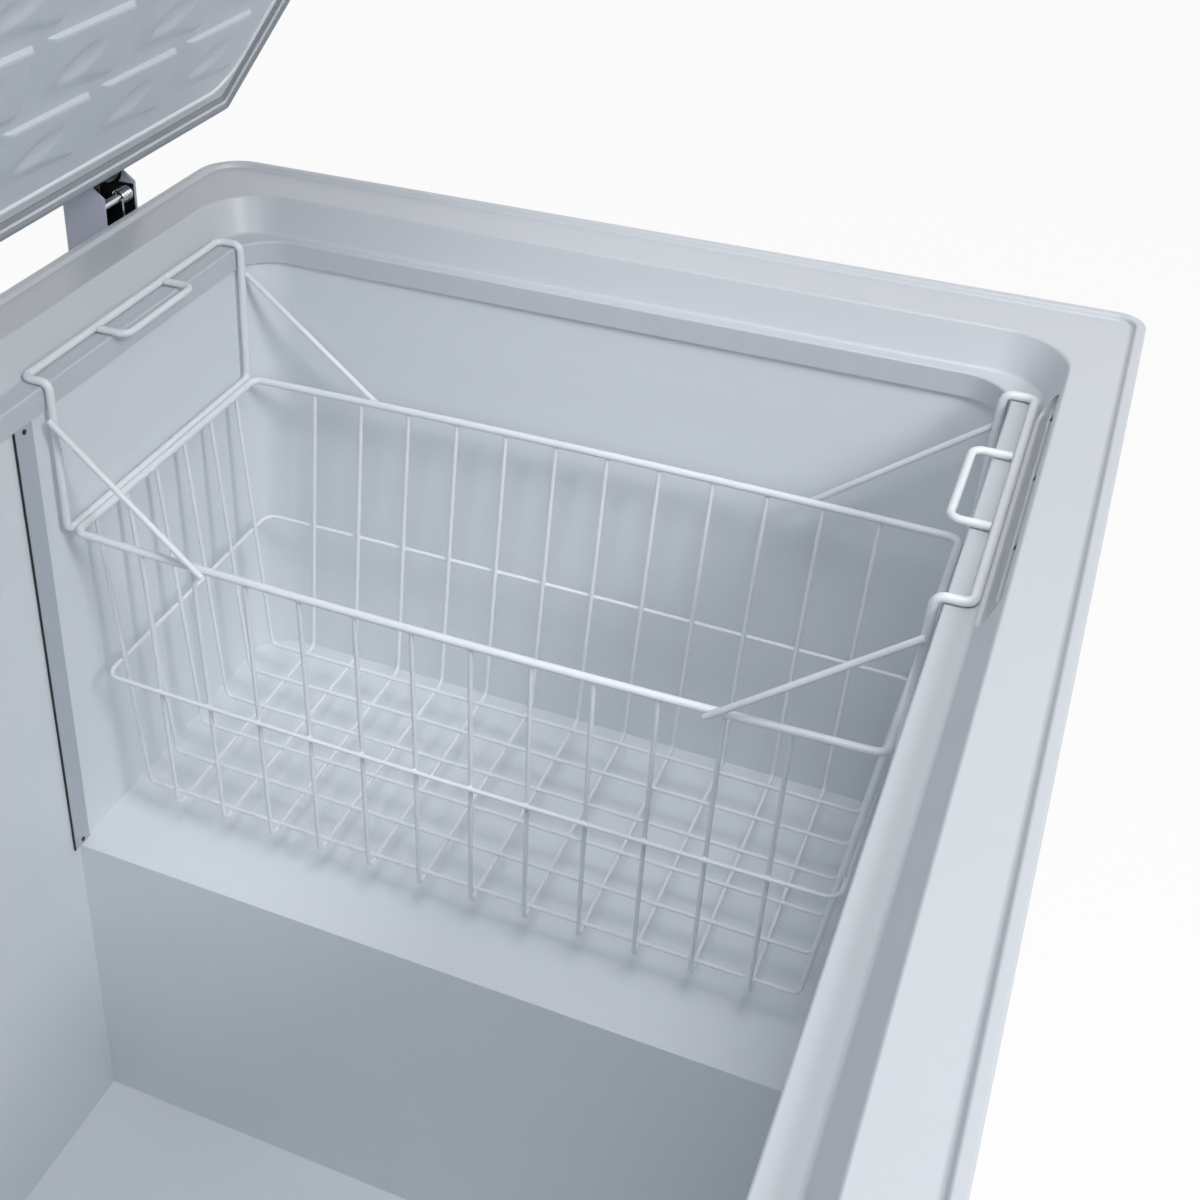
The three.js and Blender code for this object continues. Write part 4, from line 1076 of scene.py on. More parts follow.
@dataclass
class Lamp:
    """The lamp behind the steep face at the front: its window, cover and light dots.

    Attributes:
        radius: of the window's rounded ends.
        fit: gap round the cover.
        reach: how far the window's cutter stands past the cover.
        sheet: the cover's thickness, and sunk how far it lies behind the face.
        ridge: how far up the cover its ridge runs, as a share.
        ridge_end: where the ridge ends, from the cover's end.
        ridge_half: half the ridge's height, and ridge_rise how far it stands out.
        dots: places of the light dots along X.
        dot: radius of a light dot, and dot_rise how far it stands out.
        dot_share: how far up the cover the dots are.
        dot_sunk: how far behind the cover's face a dot starts.
    """

    radius: float = 0.0082
    fit: float = 0.0002
    reach: float = 0.008
    sheet: float = 0.0015
    sunk: float = 0.0006
    ridge: float = 0.6
    ridge_end: float = 0.012
    ridge_half: float = 0.0008
    ridge_rise: float = 0.001
    dots: tuple[float, ...] = (0.419, 0.351, 0.281)
    dot: float = 0.0017
    dot_rise: float = 0.0007
    dot_share: float = 0.78
    dot_sunk: float = 0.0009

    def plate(self, name: str, low: Vector, high: Vector, radius: float) -> bpy.types.Object:
        """A block whose ends are rounded as seen from the front.

        Args:
            name: the piece's name.
            low: its lowest corner.
            high: its highest corner.
            radius: of the rounded ends.

        Returns:
            The piece.
        """
        bench = Bench(name)
        bench.box(low, high)
        middle, half = (low + high) / 2, (high - low) / 2
        bench.choose_sharp(
            lambda p: abs(abs(p.x - middle.x) - half.x) < 1e-5
            and abs(abs(p.z - middle.z) - half.z) < 1e-5
        )
        bench.bevel(radius, 8)
        return bench.done()

    def cutter(self) -> bpy.types.Object:
        """Builds the space of the window.

        Returns:
            The piece.
        """
        low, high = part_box("lamp_cover")
        reach = Vector((0, self.reach, 0))
        return self.plate("lamp_window", low - reach, high + reach, self.radius)

    def set_in(self, piece: bpy.types.Object, finish: Finish, *nodes: str) -> None:
        """Leans a piece back with the steep face, about the line of its foot, and hands it over.

        Args:
            piece: the piece, shaped upright.
            finish: its finish.
            nodes: the CAD nodes it replaces.
        """
        low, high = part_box("lamp_cover")
        foot = Vector((0, high.y, low.z))
        lean = TopFrame.lean / TopFrame.ledge
        shear = Matrix(((1, 0, 0, 0), (0, 1, -lean, 0), (0, 0, 1, 0), (0, 0, 0, 1)))
        piece.data.transform(Matrix.Translation(foot) @ shear @ Matrix.Translation(-foot))
        hand_over(piece, NODE_BODY["lamp_cover"], finish, *nodes)

    def build(self) -> None:
        """Builds the cover with its ridge and the dots on it."""
        low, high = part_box("lamp_cover")
        gap = Vector((self.fit, 0, self.fit))
        lens = self.plate(
            "lamp_cover_lens", Vector((low.x, high.y - self.sheet, low.z)) + gap,
            high - gap - Vector((0, self.sunk, 0)), self.radius - self.fit,
        )
        self.set_in(lens, Finish.CLEAR_PLASTIC, "lamp_cover")
        bench = Bench("lamp_cover_ridge")
        ridge = low.z + self.ridge * (high.z - low.z)
        bench.box(
            (low.x + self.ridge_end, high.y - self.ridge_rise, ridge - self.ridge_half),
            (high.x - self.ridge_end, high.y, ridge + self.ridge_half),
        )
        bench.chamfer(0.0005, 3)
        self.set_in(bench.done(), Finish.CLEAR_PLASTIC, "lamp_cover")
        bench = Bench("lamp_light_dots")
        height = low.z + self.dot_share * (high.z - low.z)
        for x in self.dots:
            start = Vector((x, high.y - self.dot_sunk, height))
            bench.rod(start, Vector((0, 1, 0)), self.dot_rise, self.dot, 16)
        self.set_in(bench.done(), Finish.BLACK_PLASTIC)


@dataclass
class TopFrame:
    """The moulded frame round the cabinet's mouth, with its lamp window.

    Attributes:
        top: height of its flat top.
        wall: its wall, and tuck how far that thins towards the flat top's inner edge.
        skirt: depth of the outer skirt.
        bead: height of the bead along the outer edge.
        bead_width: width of the bead, bead_slope its sloping part.
        flat_end: width of the flat top at the ends.
        flat_side: width of the flat top along front and back.
        lean: how far the steep face leans in.
        ledge: depth of the ledge below the flat top.
        lip_end: inset of the lip at the ends.
        lip_side: inset of the lip along front and back.
        lip_drop: height of the lip, lip_wall its thickness.
        radius: corners of the flat top's inner edge.
        segments: straight steps in each corner.
        eased: radius of the rounded edge along each line of the profile.
    """

    top: float = 0.7
    wall: float = 0.0025
    tuck: float = 0.0004
    skirt: float = 0.026
    bead: float = 0.003
    bead_width: float = 0.0065
    bead_slope: float = 0.0012
    flat_end: float = 0.045
    flat_side: float = 0.034
    lean: float = 0.0102
    ledge: float = 0.023
    lip_end: float = 0.0637
    lip_side: float = 0.0597
    lip_drop: float = 0.0153
    lip_wall: float = 0.002
    radius: float = 0.04
    segments: int = 14
    eased: tuple[float, ...] = (0.0, 0.0011, 0.0009, 0.0008, 0.0016, 0.0022, 0.0014, 0.0004)

    def on_flat(self, distance: float, z: float) -> Outline:
        """An outline inside the flat top's inner edge."""
        end, side = self.flat_end + distance, self.flat_side + distance
        return inner(end, side, self.radius - distance, z)

    def on_lip(self, inset: float, z: float) -> Outline:
        """An outline outside the lip."""
        end, side = self.lip_end - inset, self.lip_side - inset
        return inner(end, side, self.radius - self.lean + inset, z)

    def build(self) -> None:
        """Builds the frame."""
        top, wall, ledge, bead = self.top, self.wall, self.top - self.ledge, self.top + self.bead
        bottom = ledge - self.lip_drop
        lines = [
            outer(0.0, top - self.skirt),
            outer(0.0, bead),
            outer(self.bead_width - self.bead_slope, bead),
            outer(self.bead_width, top),
            self.on_flat(0.0, top),
            self.on_flat(self.lean, ledge),
            self.on_lip(0.0, ledge),
            self.on_lip(0.0, bottom),
            self.on_lip(self.lip_wall, bottom),
            self.on_lip(self.lip_wall, ledge - wall),
            self.on_flat(self.lean - wall, ledge - wall),
            self.on_flat(self.tuck - wall, top - wall),
            outer(wall, top - wall),
            outer(wall, top - self.skirt),
        ]
        bench = Bench("top_frame_moulding")
        made = bench.loft(lines, self.segments, closed=True)
        for outline, width in zip(made, self.eased):
            if width:
                bench.ease(outline, width, 4)
        moulding = bench.done(SHEET)
        carve(moulding, Lamp().cutter())
        hand_over(cleaned(moulding), NODE_BODY["top_frame"], Finish.FRAME_PLASTIC, "top_frame")


@dataclass
class Liner:
    """The coated sheet lining of the compartment, stepped over the machine room.

    Attributes:
        side: inset of its walls at the front and back.
        end: inset of its walls at the ends.
        radius: its upright corners.
        wall: its sheet.
        floor: height of the floor.
        hump: height of the step over the machine room.
        hump_front: place of the step's face along X.
        upper: its upper edge.
        segments: straight steps in each corner.
        drain: radius of the drain hole.
        past: how far a cutter stands past what it cuts.
        seam_edge: how far the black strip painted as shadow beside a joint strip reaches, seam_gap
            where it starts.
        rivet: radius of a rivet, with its rise and its distance from the strip's end.
    """

    side: float = 0.0575
    end: float = 0.0615
    radius: float = 0.032
    wall: float = 0.0012
    floor: float = 0.097
    hump: float = 0.342
    hump_front: float = 0.22
    upper: float = 0.6742
    segments: int = 14
    drain: float = 0.0123
    past: float = 0.01
    seam_edge: float = 0.0012
    seam_gap: float = 0.0002
    rivet: float = 0.0016
    rivet_rise: float = 0.0006
    rivet_inset: float = 0.0035

    def space(self, name: str, grow: float, upper: float) -> bpy.types.Object:
        """The compartment's space.

        Args:
            name: the piece's name.
            grow: how far it is grown outwards.
            upper: height of its top.

        Returns:
            The piece.
        """
        bench = Bench(name)
        end, side, radius = self.end - grow, self.side - grow, self.radius + grow
        lines = [inner(end, side, radius, z) for z in (self.floor - grow, upper)]
        bench.loft(lines, self.segments, closed=False)
        space = bench.done()
        bench = Bench(f"{name}_step")
        bench.box((self.hump_front + grow, -1, -1), (1, 1, self.hump - grow))
        carve(space, bench.done())
        return space

    def build(self) -> None:
        """Builds the sheet with its drain hole."""
        sheet = self.space("inner_liner_sheet", self.wall, self.upper)
        carve(sheet, self.space("inner_liner_room", 0.0, self.upper + self.past))
        low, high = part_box("drain_plug")
        middle = (low + high) / 2
        below = Vector((middle.x, middle.y, self.floor - self.past))
        bench = Bench("drain_hole")
        bench.rod(below, UP, 2 * self.past, self.drain, 32)
        carve(sheet, bench.done())
        hand_over(cleaned(sheet), NODE_BODY["inner_liner"], Finish.LINER_SHEET, "inner_liner")
        for side in Side:
            self.build_seam(side)

    def build_seam(self, side: Side) -> None:
        """The joint strip at the step's corner, with a black strip painted as shadow along its edge
        and a rivet at both ends.

        Args:
            side: the wall it is on.
        """
        node = f"liner_seam_strip_{name_of(side)}"
        softened(node, 0.0004)
        low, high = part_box(node)
        face = low.y if side is Side.BACK else high.y
        # a thin black strip along the joint strip's edge: painted shadow in the crease
        bench = Bench(f"seam_shadow_{name_of(side)}")
        bench.box((low.x - self.seam_edge, low.y, low.z), (low.x - self.seam_gap, *high.yz))
        bench.chamfer(0.0002, 2)
        hand_over(bench.done(), NODE_BODY[node], Finish.BLACK_PLASTIC)
        bench = Bench(f"seam_rivets_{name_of(side)}")
        for z in (low.z + self.rivet_inset, high.z - self.rivet_inset):
            start = Vector(((low.x + high.x) / 2, face, z))
            bench.rod(start, Vector((0, -side.value, 0)), self.rivet_rise, self.rivet, 16)
        hand_over(bench.done(), NODE_BODY[node], Finish.BLACK_PLASTIC)


# ---------------------------------------------------------------------------
# Lid
# ---------------------------------------------------------------------------

HINGE_AXIS: Point = (0.0, 0.318232, 0.7246)
LID_ANGLE = 56.5  # how far the lid stands open, in degrees


def opened(piece: bpy.types.Object) -> bpy.types.Object:
    """Turns a piece shaped on the closed lid to where the lid rests.

    Args:
        piece: the piece.

    Returns:
        The piece.
    """
    axis = Vector(HINGE_AXIS)
    turn = Matrix.Rotation(math.radians(-LID_ANGLE), 4, "X")
    piece.data.transform(Matrix.Translation(axis) @ turn @ Matrix.Translation(-axis))
    return piece


@dataclass
class Lid:
    """The lid: shaped closed over the cabinet, then turned open about its hinge axis.

    Attributes:
        bottom: height of its skirt when closed.
        thickness: its height.
        sheet: its outer sheet, and slope the cut corner inside its upper edge.
        flange: width of the folded edge.
        fold: radius of the fold, and round that of the upper edge.
        segments: straight steps in each corner.
        seat_gap: from the folded edge to the gasket's foot.
        gasket: the gasket's section, as inset and depth in millimetres.
        bead_inset: place of the white ring painted as the highlight on the crest's inner slope.
        bead_depth: its depth under the gasket's foot.
        bead: that highlight ring's radius.
        gap_half: half width of the black ring painted as shade in the gap inside the folded edge,
            with its depth and height.
        border: height of the liner's flat border when closed.
        crest: height of the bottom of the groove inside it.
        border_end: where the border ends, at the ends.
        border_side: the same along front and back.
        corner: radius of its corners there.
        groove: run and corner radius of the groove's lines, from the border to the tiles' sheet.
        liner_eased: radius of the rounded edges from the border's outer edge inwards.
        liner_gap: from the folded edge to the liner, and overlap the sheet's part under the groove.
        liner: thickness of the liner.
        level: height of the sheet between the tiles when closed.
    """

    bottom: float = 0.7089
    thickness: float = 0.057
    sheet: float = 0.001
    slope: float = 0.003
    flange: float = 0.026
    fold: float = 0.0008
    round: float = 0.005
    segments: int = 6
    seat_gap: float = 0.0003
    gasket: tuple[tuple[float, float], ...] = (
        (8.0, 0.0), (8.0, 2.2), (9.0, 4.0), (10.3, 4.8), (11.7, 4.9), (13.0, 4.5), (13.6, 5.6),
        (14.4, 7.2), (15.6, 8.0), (17.2, 8.3), (18.6, 8.0), (19.6, 7.0), (20.4, 5.4), (22.0, 4.8),
        (23.2, 3.6), (24.6, 2.4), (24.6, 0.0),
    )
    bead_inset: float = 0.0213
    bead_depth: float = 0.0057
    bead: float = 0.0012
    gap_half: float = 0.0012
    gap_depth: float = 0.0008
    gap_height: float = 0.0005
    border: float = 0.705
    crest: float = 0.7004
    border_end: float = 0.04
    border_side: float = 0.042
    corner: float = 0.026
    groove: tuple[tuple[float, float], ...] = ((0.002, 0.0245), (0.004, 0.0225), (0.005, 0.021))
    liner_eased: tuple[float, ...] = (0.0005, 0.0012, 0.0009, 0.0008)
    liner_gap: float = 0.0006
    overlap: float = 0.0005
    liner: float = 0.0015
    level: float = 0.7019

    def add_ring(
        self, name: str, lines: list[Outline], smooth: float, finish: Finish, *nodes: str
    ) -> None:
        """Skins a closed ring over outlines and hands it over on the open lid.

        Args:
            name: the piece's name.
            lines: the outlines.
            smooth: angle in degrees under which faces shade as one.
            finish: its finish.
            nodes: the CAD nodes it replaces.
        """
        bench = Bench(name)
        bench.loft(lines, 2, closed=True)
        hand_over(opened(bench.done(smooth)), "lid", finish, *nodes)

    def build_skin(self) -> None:
        """The painted outer sheet with its folded edge."""
        sheet, upper = self.sheet, self.bottom + self.thickness
        lines = [
            lid_line(sheet + self.slope, upper - sheet),
            lid_line(sheet, upper - sheet - self.slope),
            lid_line(sheet, self.bottom + sheet),
            lid_line(self.flange, self.bottom + sheet),
            lid_line(self.flange, self.bottom),
            lid_line(0.0, self.bottom),
            lid_line(0.0, upper),
        ]
        bench = Bench("lid_skin_sheet")
        *_, lower_edge, upper_edge = bench.loft(lines, self.segments, closed=False)
        bench.ease(lower_edge, self.fold)
        bench.ease(upper_edge, self.round, 6)
        hand_over(opened(bench.done(SHEET)), "lid", Finish.WHITE_PAINT, "lid_skin")

    def build_gasket(self) -> None:
        """The magnetic seal, with a white ring painted as its highlight and a black ring painted as
        shade in the gap inside it.
        """
        seat = self.bottom - self.seat_gap
        lines = [lid_line(inset / 1000, seat - depth / 1000) for inset, depth in self.gasket]
        self.add_ring("lid_gasket_roll", lines, 50, Finish.GASKET_VINYL, "lid_gasket")
        # a white ring on the crest's inner slope: painted highlight on the gasket
        low = seat - self.bead_depth
        around = [math.radians(45 * step) for step in range(8)]
        lines = [
            lid_line(self.bead_inset + self.bead * math.sin(a), low - self.bead * math.cos(a))
            for a in around
        ]
        self.add_ring("lid_gasket_bead", lines, 60, Finish.WHITE_PLASTIC)
        # a black ring in the gap inside the folded edge: painted shade
        back = self.border + self.gap_depth
        near, far = self.flange - self.gap_half, self.flange + self.gap_half
        section = ((near, 0.0), (far, 0.0), (far, self.gap_height), (near, self.gap_height))
        lines = [lid_line(inset, back + rise) for inset, rise in section]
        self.add_ring("lid_gasket_gap", lines, 30, Finish.BLACK_PLASTIC)

    def within(self, run: float, radius: float, z: float) -> Outline:
        """An outline inside the liner's border."""
        return inner(self.border_end + run, self.border_side + run, radius, z)

    def build_liner(self) -> None:
        """The moulded inner sheet: a flat border, a groove and the sheet under the tiles."""
        edge = self.flange + self.liner_gap
        back = self.border + self.liner
        near, far, (run, radius) = self.groove
        lines = [
            self.within(run, radius, self.level + self.liner),
            self.within(0.0, self.corner, back),
            inner(edge, edge, SMALLEST_CORNER, back),
            inner(edge, edge, SMALLEST_CORNER, self.border),
            self.within(0.0, self.corner, self.border),
            self.within(*near, self.crest),
            self.within(*far, self.crest),
            self.within(run, radius, self.level),
        ]
        bench = Bench("lid_liner_border")
        made = bench.loft(lines, 10, closed=True)
        for outline, width in zip(made[3:], self.liner_eased):
            bench.ease(outline, width)
        # the border takes the lighter copy of the liner plastic, painted light
        hand_over(opened(bench.done(SHEET)), "lid", Finish.LID_BORDER_PLASTIC, "lid_liner")
        bench = Bench("lid_liner_sheet")
        run, radius = run - self.overlap, radius + self.overlap
        lines = [self.within(run, radius, z) for z in (self.level + self.liner, self.level)]
        bench.loft(lines, 10, closed=False)
        hand_over(opened(bench.done(SHEET)), "lid", Finish.LID_LINER_PLASTIC, "lid_liner")

    def build(self) -> None:
        """Builds the sheet parts and the tiles on the liner."""
        self.build_skin()
        self.build_gasket()
        self.build_liner()
        tiles = Tiles(self.level).build()
        hand_over(opened(tiles), "lid", Finish.LID_LINER_PLASTIC, "lid_liner")


def smoothstep(value: float) -> float:
    """A smooth rise from 0 at 0 to 1 at 1."""
    share = min(1.0, max(0.0, value))
    return share * share * (3 - 2 * share)


@dataclass
class Tiles:
    """Slanted tiles pressed into the lid liner, each with a leaf-shaped hollow.

    Every tile is tilted: it rises towards its far right corner, drops there over a rounded edge
    and runs out into the sheet on its other two sides.

    Attributes:
        face: height of the sheet between the tiles when closed.
        length: of a tile along X, and width along Y.
        pitch_x: from tile to tile along X.
        pitch_y: from row to row.
        columns: tiles in a row.
        rows: number of rows.
        slant: how far a tile's hinge side is shifted against its far side.
        rise: height of its highest corner.
        lowest: share of that at its lowest corner before it runs out, tilt the rest each way.
        corner: radius of the rounded corner seen from below.
        edge: radius of the rounded drop.
        run_out: width over which the other sides blend, at least and at most.
        leaf: half length of the hollow, leaf_width its half width and leaf_depth its depth.
        leaf_turn: the hollow's direction in degrees from X.
        steps_x: straight steps along a tile, and steps_y across it.
        crowding: how much closer the steps lie towards the rounded edges.
        clear: from the sheet to the tile's underside, and back the tile's own thickness.
    """

    face: float
    length: float = 0.079
    width: float = 0.054
    pitch_x: float = 0.0885
    pitch_y: float = 0.062
    columns: int = 11
    rows: int = 8
    slant: float = 0.012
    rise: float = 0.0036
    lowest: float = 0.6
    tilt: float = 0.2
    corner: float = 0.007
    edge: float = 0.0016
    run_out: tuple[float, float] = (0.005, 0.03)
    leaf: float = 0.021
    leaf_width: float = 0.0105
    leaf_depth: float = 0.0022
    leaf_turn: float = 26.0
    steps_x: int = 34
    steps_y: int = 26
    crowding: float = 1.35
    clear: float = 0.00008
    back: float = 0.0005

    def height(self, x: float, y: float) -> float:
        """How far the tile stands out of the sheet.

        Args:
            x: from its left side, 0 to length.
            y: from its hinge side, 0 to width.

        Returns:
            The height.
        """
        right, far = self.length - x, self.width - y
        away = min(right, far)
        if right < self.corner and far < self.corner:
            away = self.corner - math.hypot(self.corner - right, self.corner - far)
        drop = 1 - min(1.0, max(0.0, away / self.edge))
        low, high = self.run_out
        left_run = high + (low - high) * y / self.width
        near_run = high + (low - high) * x / self.length
        blend = smoothstep(x / left_run) * smoothstep(y / near_run)
        tilt = self.lowest + self.tilt * (x / self.length + y / self.width)
        return self.rise * tilt * math.sqrt(1 - drop * drop) * blend - self.hollow(x, y)

    def hollow(self, x: float, y: float) -> float:
        """Depth of the leaf, which is deeper at its near end and steeper at one side.

        Args:
            x: from the tile's left side.
            y: from its hinge side.

        Returns:
            The depth.
        """
        turn = math.radians(self.leaf_turn)
        dx, dy = x - self.length / 2, y - self.width / 2
        along = dx * math.cos(turn) + dy * math.sin(turn)
        across = -dx * math.sin(turn) + dy * math.cos(turn)
        share = 1 - (along / self.leaf) ** 2
        if share <= 0:
            return 0.0
        side = across / (self.leaf_width * share**0.5)
        if abs(side) >= 1:
            return 0.0
        fade = 1 - 0.5 * along / self.leaf
        steepness = 3.0 if side < 0 else 2.0
        return self.leaf_depth * share**0.5 * fade * (1 - abs(side) ** steepness)

    def relief(self, grid: Vector) -> Point:
        """Where a point of the flat grid lies on the first tile.

        Args:
            grid: the point, from -1 to 1 along X and Y.

        Returns:
            Its place.
        """
        u = 1 - ((1 - grid.x) / 2) ** self.crowding
        v = 1 - ((1 - grid.y) / 2) ** self.crowding
        x, y = u * self.length, v * self.width
        low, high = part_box("top_frame")
        first_x = -(self.columns - 1) / 2 * self.pitch_x
        first_y = -(self.rows - 1) / 2 * self.pitch_y + (low[1] + high[1]) / 2
        return (
            first_x - self.length / 2 + x + self.slant * (0.5 - v),
            first_y + self.width / 2 - y,
            self.face + self.clear - self.height(x, y),
        )

    def build(self) -> bpy.types.Object:
        """Shapes one tile, closes its back and repeats it over the liner.

        Returns:
            The tiles, as one piece.
        """
        bench = Bench("lid_liner_tiles")
        bpy.ops.mesh.primitive_grid_add(
            x_subdivisions=self.steps_x, y_subdivisions=self.steps_y, size=2
        )
        bench.move(self.relief)
        bench.none("EDGE")
        bpy.ops.mesh.select_non_manifold()
        bench.extrude((0, 0, self.back))
        bpy.ops.mesh.edge_face_add()
        tiles = bench.done(40)
        along, across = (self.pitch_x, 0, 0), (0, self.pitch_y, 0)
        for count, offset in ((self.columns, along), (self.rows, across)):
            modify(
                tiles, "ARRAY", count=count, use_relative_offset=False, use_constant_offset=True,
                constant_offset_displace=offset,
            )
        return tiles


@dataclass
class Hinge:
    """One lid hinge: the plates as in the frame, with the dark arm, black film painted as shade
    inside the cheeks, the roller and the spring.

    Places are given from the hinge's axis, before it towards the front and below it.

    Attributes:
        end: which end of the cabinet it stands at.
        inside: from its middle to a cheek's inner face.
        film: thickness of the black film painted as shade on the cheeks.
        film_before: that film's front edge, and film_below, film_top its foot and its top.
        film_round: radius of its round tops.
        film_back: from the housing's back to the shade film, and web that film's thickness there.
        web_foot: from the housing's foot to the shade film on the web, web_below that film's top.
        fit: gap beside the web's shade film.
        spring_wire: radius of the spring's wire, and wire_gap the gap between its coils.
        coil: radius of the main spring's coils, at the wire's middle.
        coils: number of them.
        coil_tail: length of its tail, and tail_above where that starts.
        roller: radius of the stop roller, roller_gap from its end to the cheek.
        roller_before: the roller's place before the axis.
        roller_below: its place below the axis.
        small_coil: radius of the small spring's coils on it, small_coils their number.
        small_inset: from the roller's end to their middle.
        small_tail: length of their tail, small_wire its radius.
        tail_inset: from the roller's end to that tail.
        arm_inset: from the cheek's inner face to the arm.
        arm: the arm's section, as places behind and above the axis.
    """

    end: End
    inside: float = 0.017
    film: float = 0.00015
    film_before: float = 0.0196
    film_below: float = 0.045
    film_top: float = 0.0075
    film_round: float = 0.0112
    film_back: float = 0.0022
    web: float = 0.001
    web_foot: float = 0.004
    web_below: float = 0.015
    fit: float = 0.0002
    spring_wire: float = 0.0011
    wire_gap: float = 0.0006
    coil: float = 0.0056
    coils: int = 9
    coil_tail: float = 0.03
    tail_above: float = 0.002
    roller: float = 0.003
    roller_gap: float = 0.0004
    roller_before: float = 0.0157
    roller_below: float = 0.0132
    small_coil: float = 0.0042
    small_coils: int = 4
    small_inset: float = 0.0075
    small_tail: float = 0.021
    small_wire: float = 0.0009
    tail_inset: float = 0.0145
    arm_inset: float = 0.0034
    arm: tuple[tuple[float, float], ...] = (
        (-0.0214, -0.0034), (-0.0092, -0.009), (-0.0082, -0.0078), (-0.0208, -0.0020),
    )

    @property
    def x(self) -> float:
        """The hinge's middle along X."""
        low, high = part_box(f"hinge_pin_{name_of(self.end)}")
        return (low[0] + high[0]) / 2

    def at(self, x: float, before: float, below: float) -> Vector:
        """A place from the axis's middle."""
        _, axis_y, axis_z = HINGE_AXIS
        return Vector((self.x + x, axis_y - before, axis_z - below))

    def build_lining(self) -> None:
        """Black film painted as shade inside the cheeks, up to their round tops, and on the web
        behind.
        """
        low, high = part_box(f"hinge_housing_{name_of(self.end)}")
        _, axis_y, axis_z = HINGE_AXIS
        back = high.y - self.film_back
        # black film on the cheeks' inner faces and on the web: painted shade inside the housing
        bench = Bench(f"hinge_lining_{name_of(self.end)}")
        for sign in (-1, 1):
            face = self.x + sign * self.inside
            film = face - sign * self.film
            bench.box(
                (min(face, film), axis_y - self.film_before, axis_z - self.film_below),
                (max(face, film), back, axis_z - self.film_top),
            )
            centre = Vector((face, axis_y, axis_z))
            bench.rod(centre, Vector((-sign, 0, 0)), self.film, self.film_round, 24)
        reach = self.inside - self.fit
        bench.box(
            (self.x - reach, back - self.web, low.z + self.web_foot),
            (self.x + reach, back, axis_z - self.web_below),
        )
        hand_over(bench.done(), "cabinet", Finish.BLACK_ENAMEL)

    def add_coils(self, middle: Vector, radius: float, count: int) -> None:
        """Adds close coils on an axis along X to the piece in edit mode.

        Args:
            middle: the middle of the row.
            radius: of the coils, at the wire's middle.
            count: number of coils.
        """
        pitch = 2 * self.spring_wire + self.wire_gap
        for number in range(count):
            bpy.ops.mesh.primitive_torus_add(
                location=middle + (number - (count - 1) / 2) * pitch * RIGHTWARDS,
                rotation=(0, math.pi / 2, 0), major_segments=28, minor_segments=10,
                major_radius=radius, minor_radius=self.spring_wire,
            )

    def build_roller(self) -> None:
        """The chrome stop roller across the cheeks, with the small spring on its far end."""
        before, below = self.roller_before, self.roller_below
        reach = self.inside - self.roller_gap
        bench = Bench(f"hinge_roller_{name_of(self.end)}")
        bench.rod(self.at(-reach, before, below), RIGHTWARDS, 2 * reach, self.roller, 24)
        bench.chamfer(0.0005, 3)
        middle = self.at(reach - self.small_inset, before, below)
        self.add_coils(middle, self.small_coil, self.small_coils)
        tail = self.at(reach - self.tail_inset, before + self.small_coil, below - 0.001)
        Wire(bench, tail, -UP, self.small_wire).ahead(self.small_tail)
        bench.close_ends()
        hand_over(bench.done(), "cabinet", Finish.CHROME_STEEL)

    def build_arm(self) -> None:
        """The dark web between the leaf's two ears, which moves with the lid."""
        reach = self.inside - self.arm_inset
        bench = Bench(f"hinge_arm_{name_of(self.end)}")
        bench.rod(self.at(-reach, 0, 0), RIGHTWARDS, 2 * reach, 1.0, 4)

        def moved(place: Vector) -> Point:
            """Takes each corner of the square rod to its own corner of the arm's section.

            Args:
                place: the vertex's place on the rod.

            Returns:
                Its place on the arm.
            """
            corner = math.atan2(place.z - HINGE_AXIS[2], place.y - HINGE_AXIS[1])
            behind, above = self.arm[round(2 * corner / math.pi) % 4]
            return place.x, HINGE_AXIS[1] + behind, HINGE_AXIS[2] + above

        bench.move(moved)
        hand_over(opened(bench.done()), "lid", Finish.BLACK_ENAMEL)

    def build_spring(self) -> None:
        """Coils round the pin and a tail that bears on the web."""
        bench = Bench(f"hinge_spring_coils_{name_of(self.end)}")
        self.add_coils(self.at(0, 0, 0), self.coil, self.coils)
        pitch = 2 * self.spring_wire + self.wire_gap
        tail = self.at(self.coils * pitch / 2 + self.wire_gap, -self.coil, -self.tail_above)
        Wire(bench, tail, -UP, self.spring_wire).ahead(self.coil_tail)
        bench.close_ends()
        name = f"hinge_spring_{name_of(self.end)}"
        hand_over(bench.done(), "cabinet", Finish.CHROME_STEEL, name)

    def build(self) -> None:
        """Builds the hinge."""
        # the housing takes the white paint painted darker, as the shade it stands in
        softened(f"hinge_housing_{name_of(self.end)}", 0.0004, Finish.HINGE_PAINT)
        softened(f"hinge_leaf_{name_of(self.end)}", 0.0004)
        softened(f"hinge_pin_{name_of(self.end)}", 0.0004)
        self.build_lining()
        self.build_roller()
        self.build_arm()
        self.build_spring()


# ---------------------------------------------------------------------------
# Controls
# ---------------------------------------------------------------------------


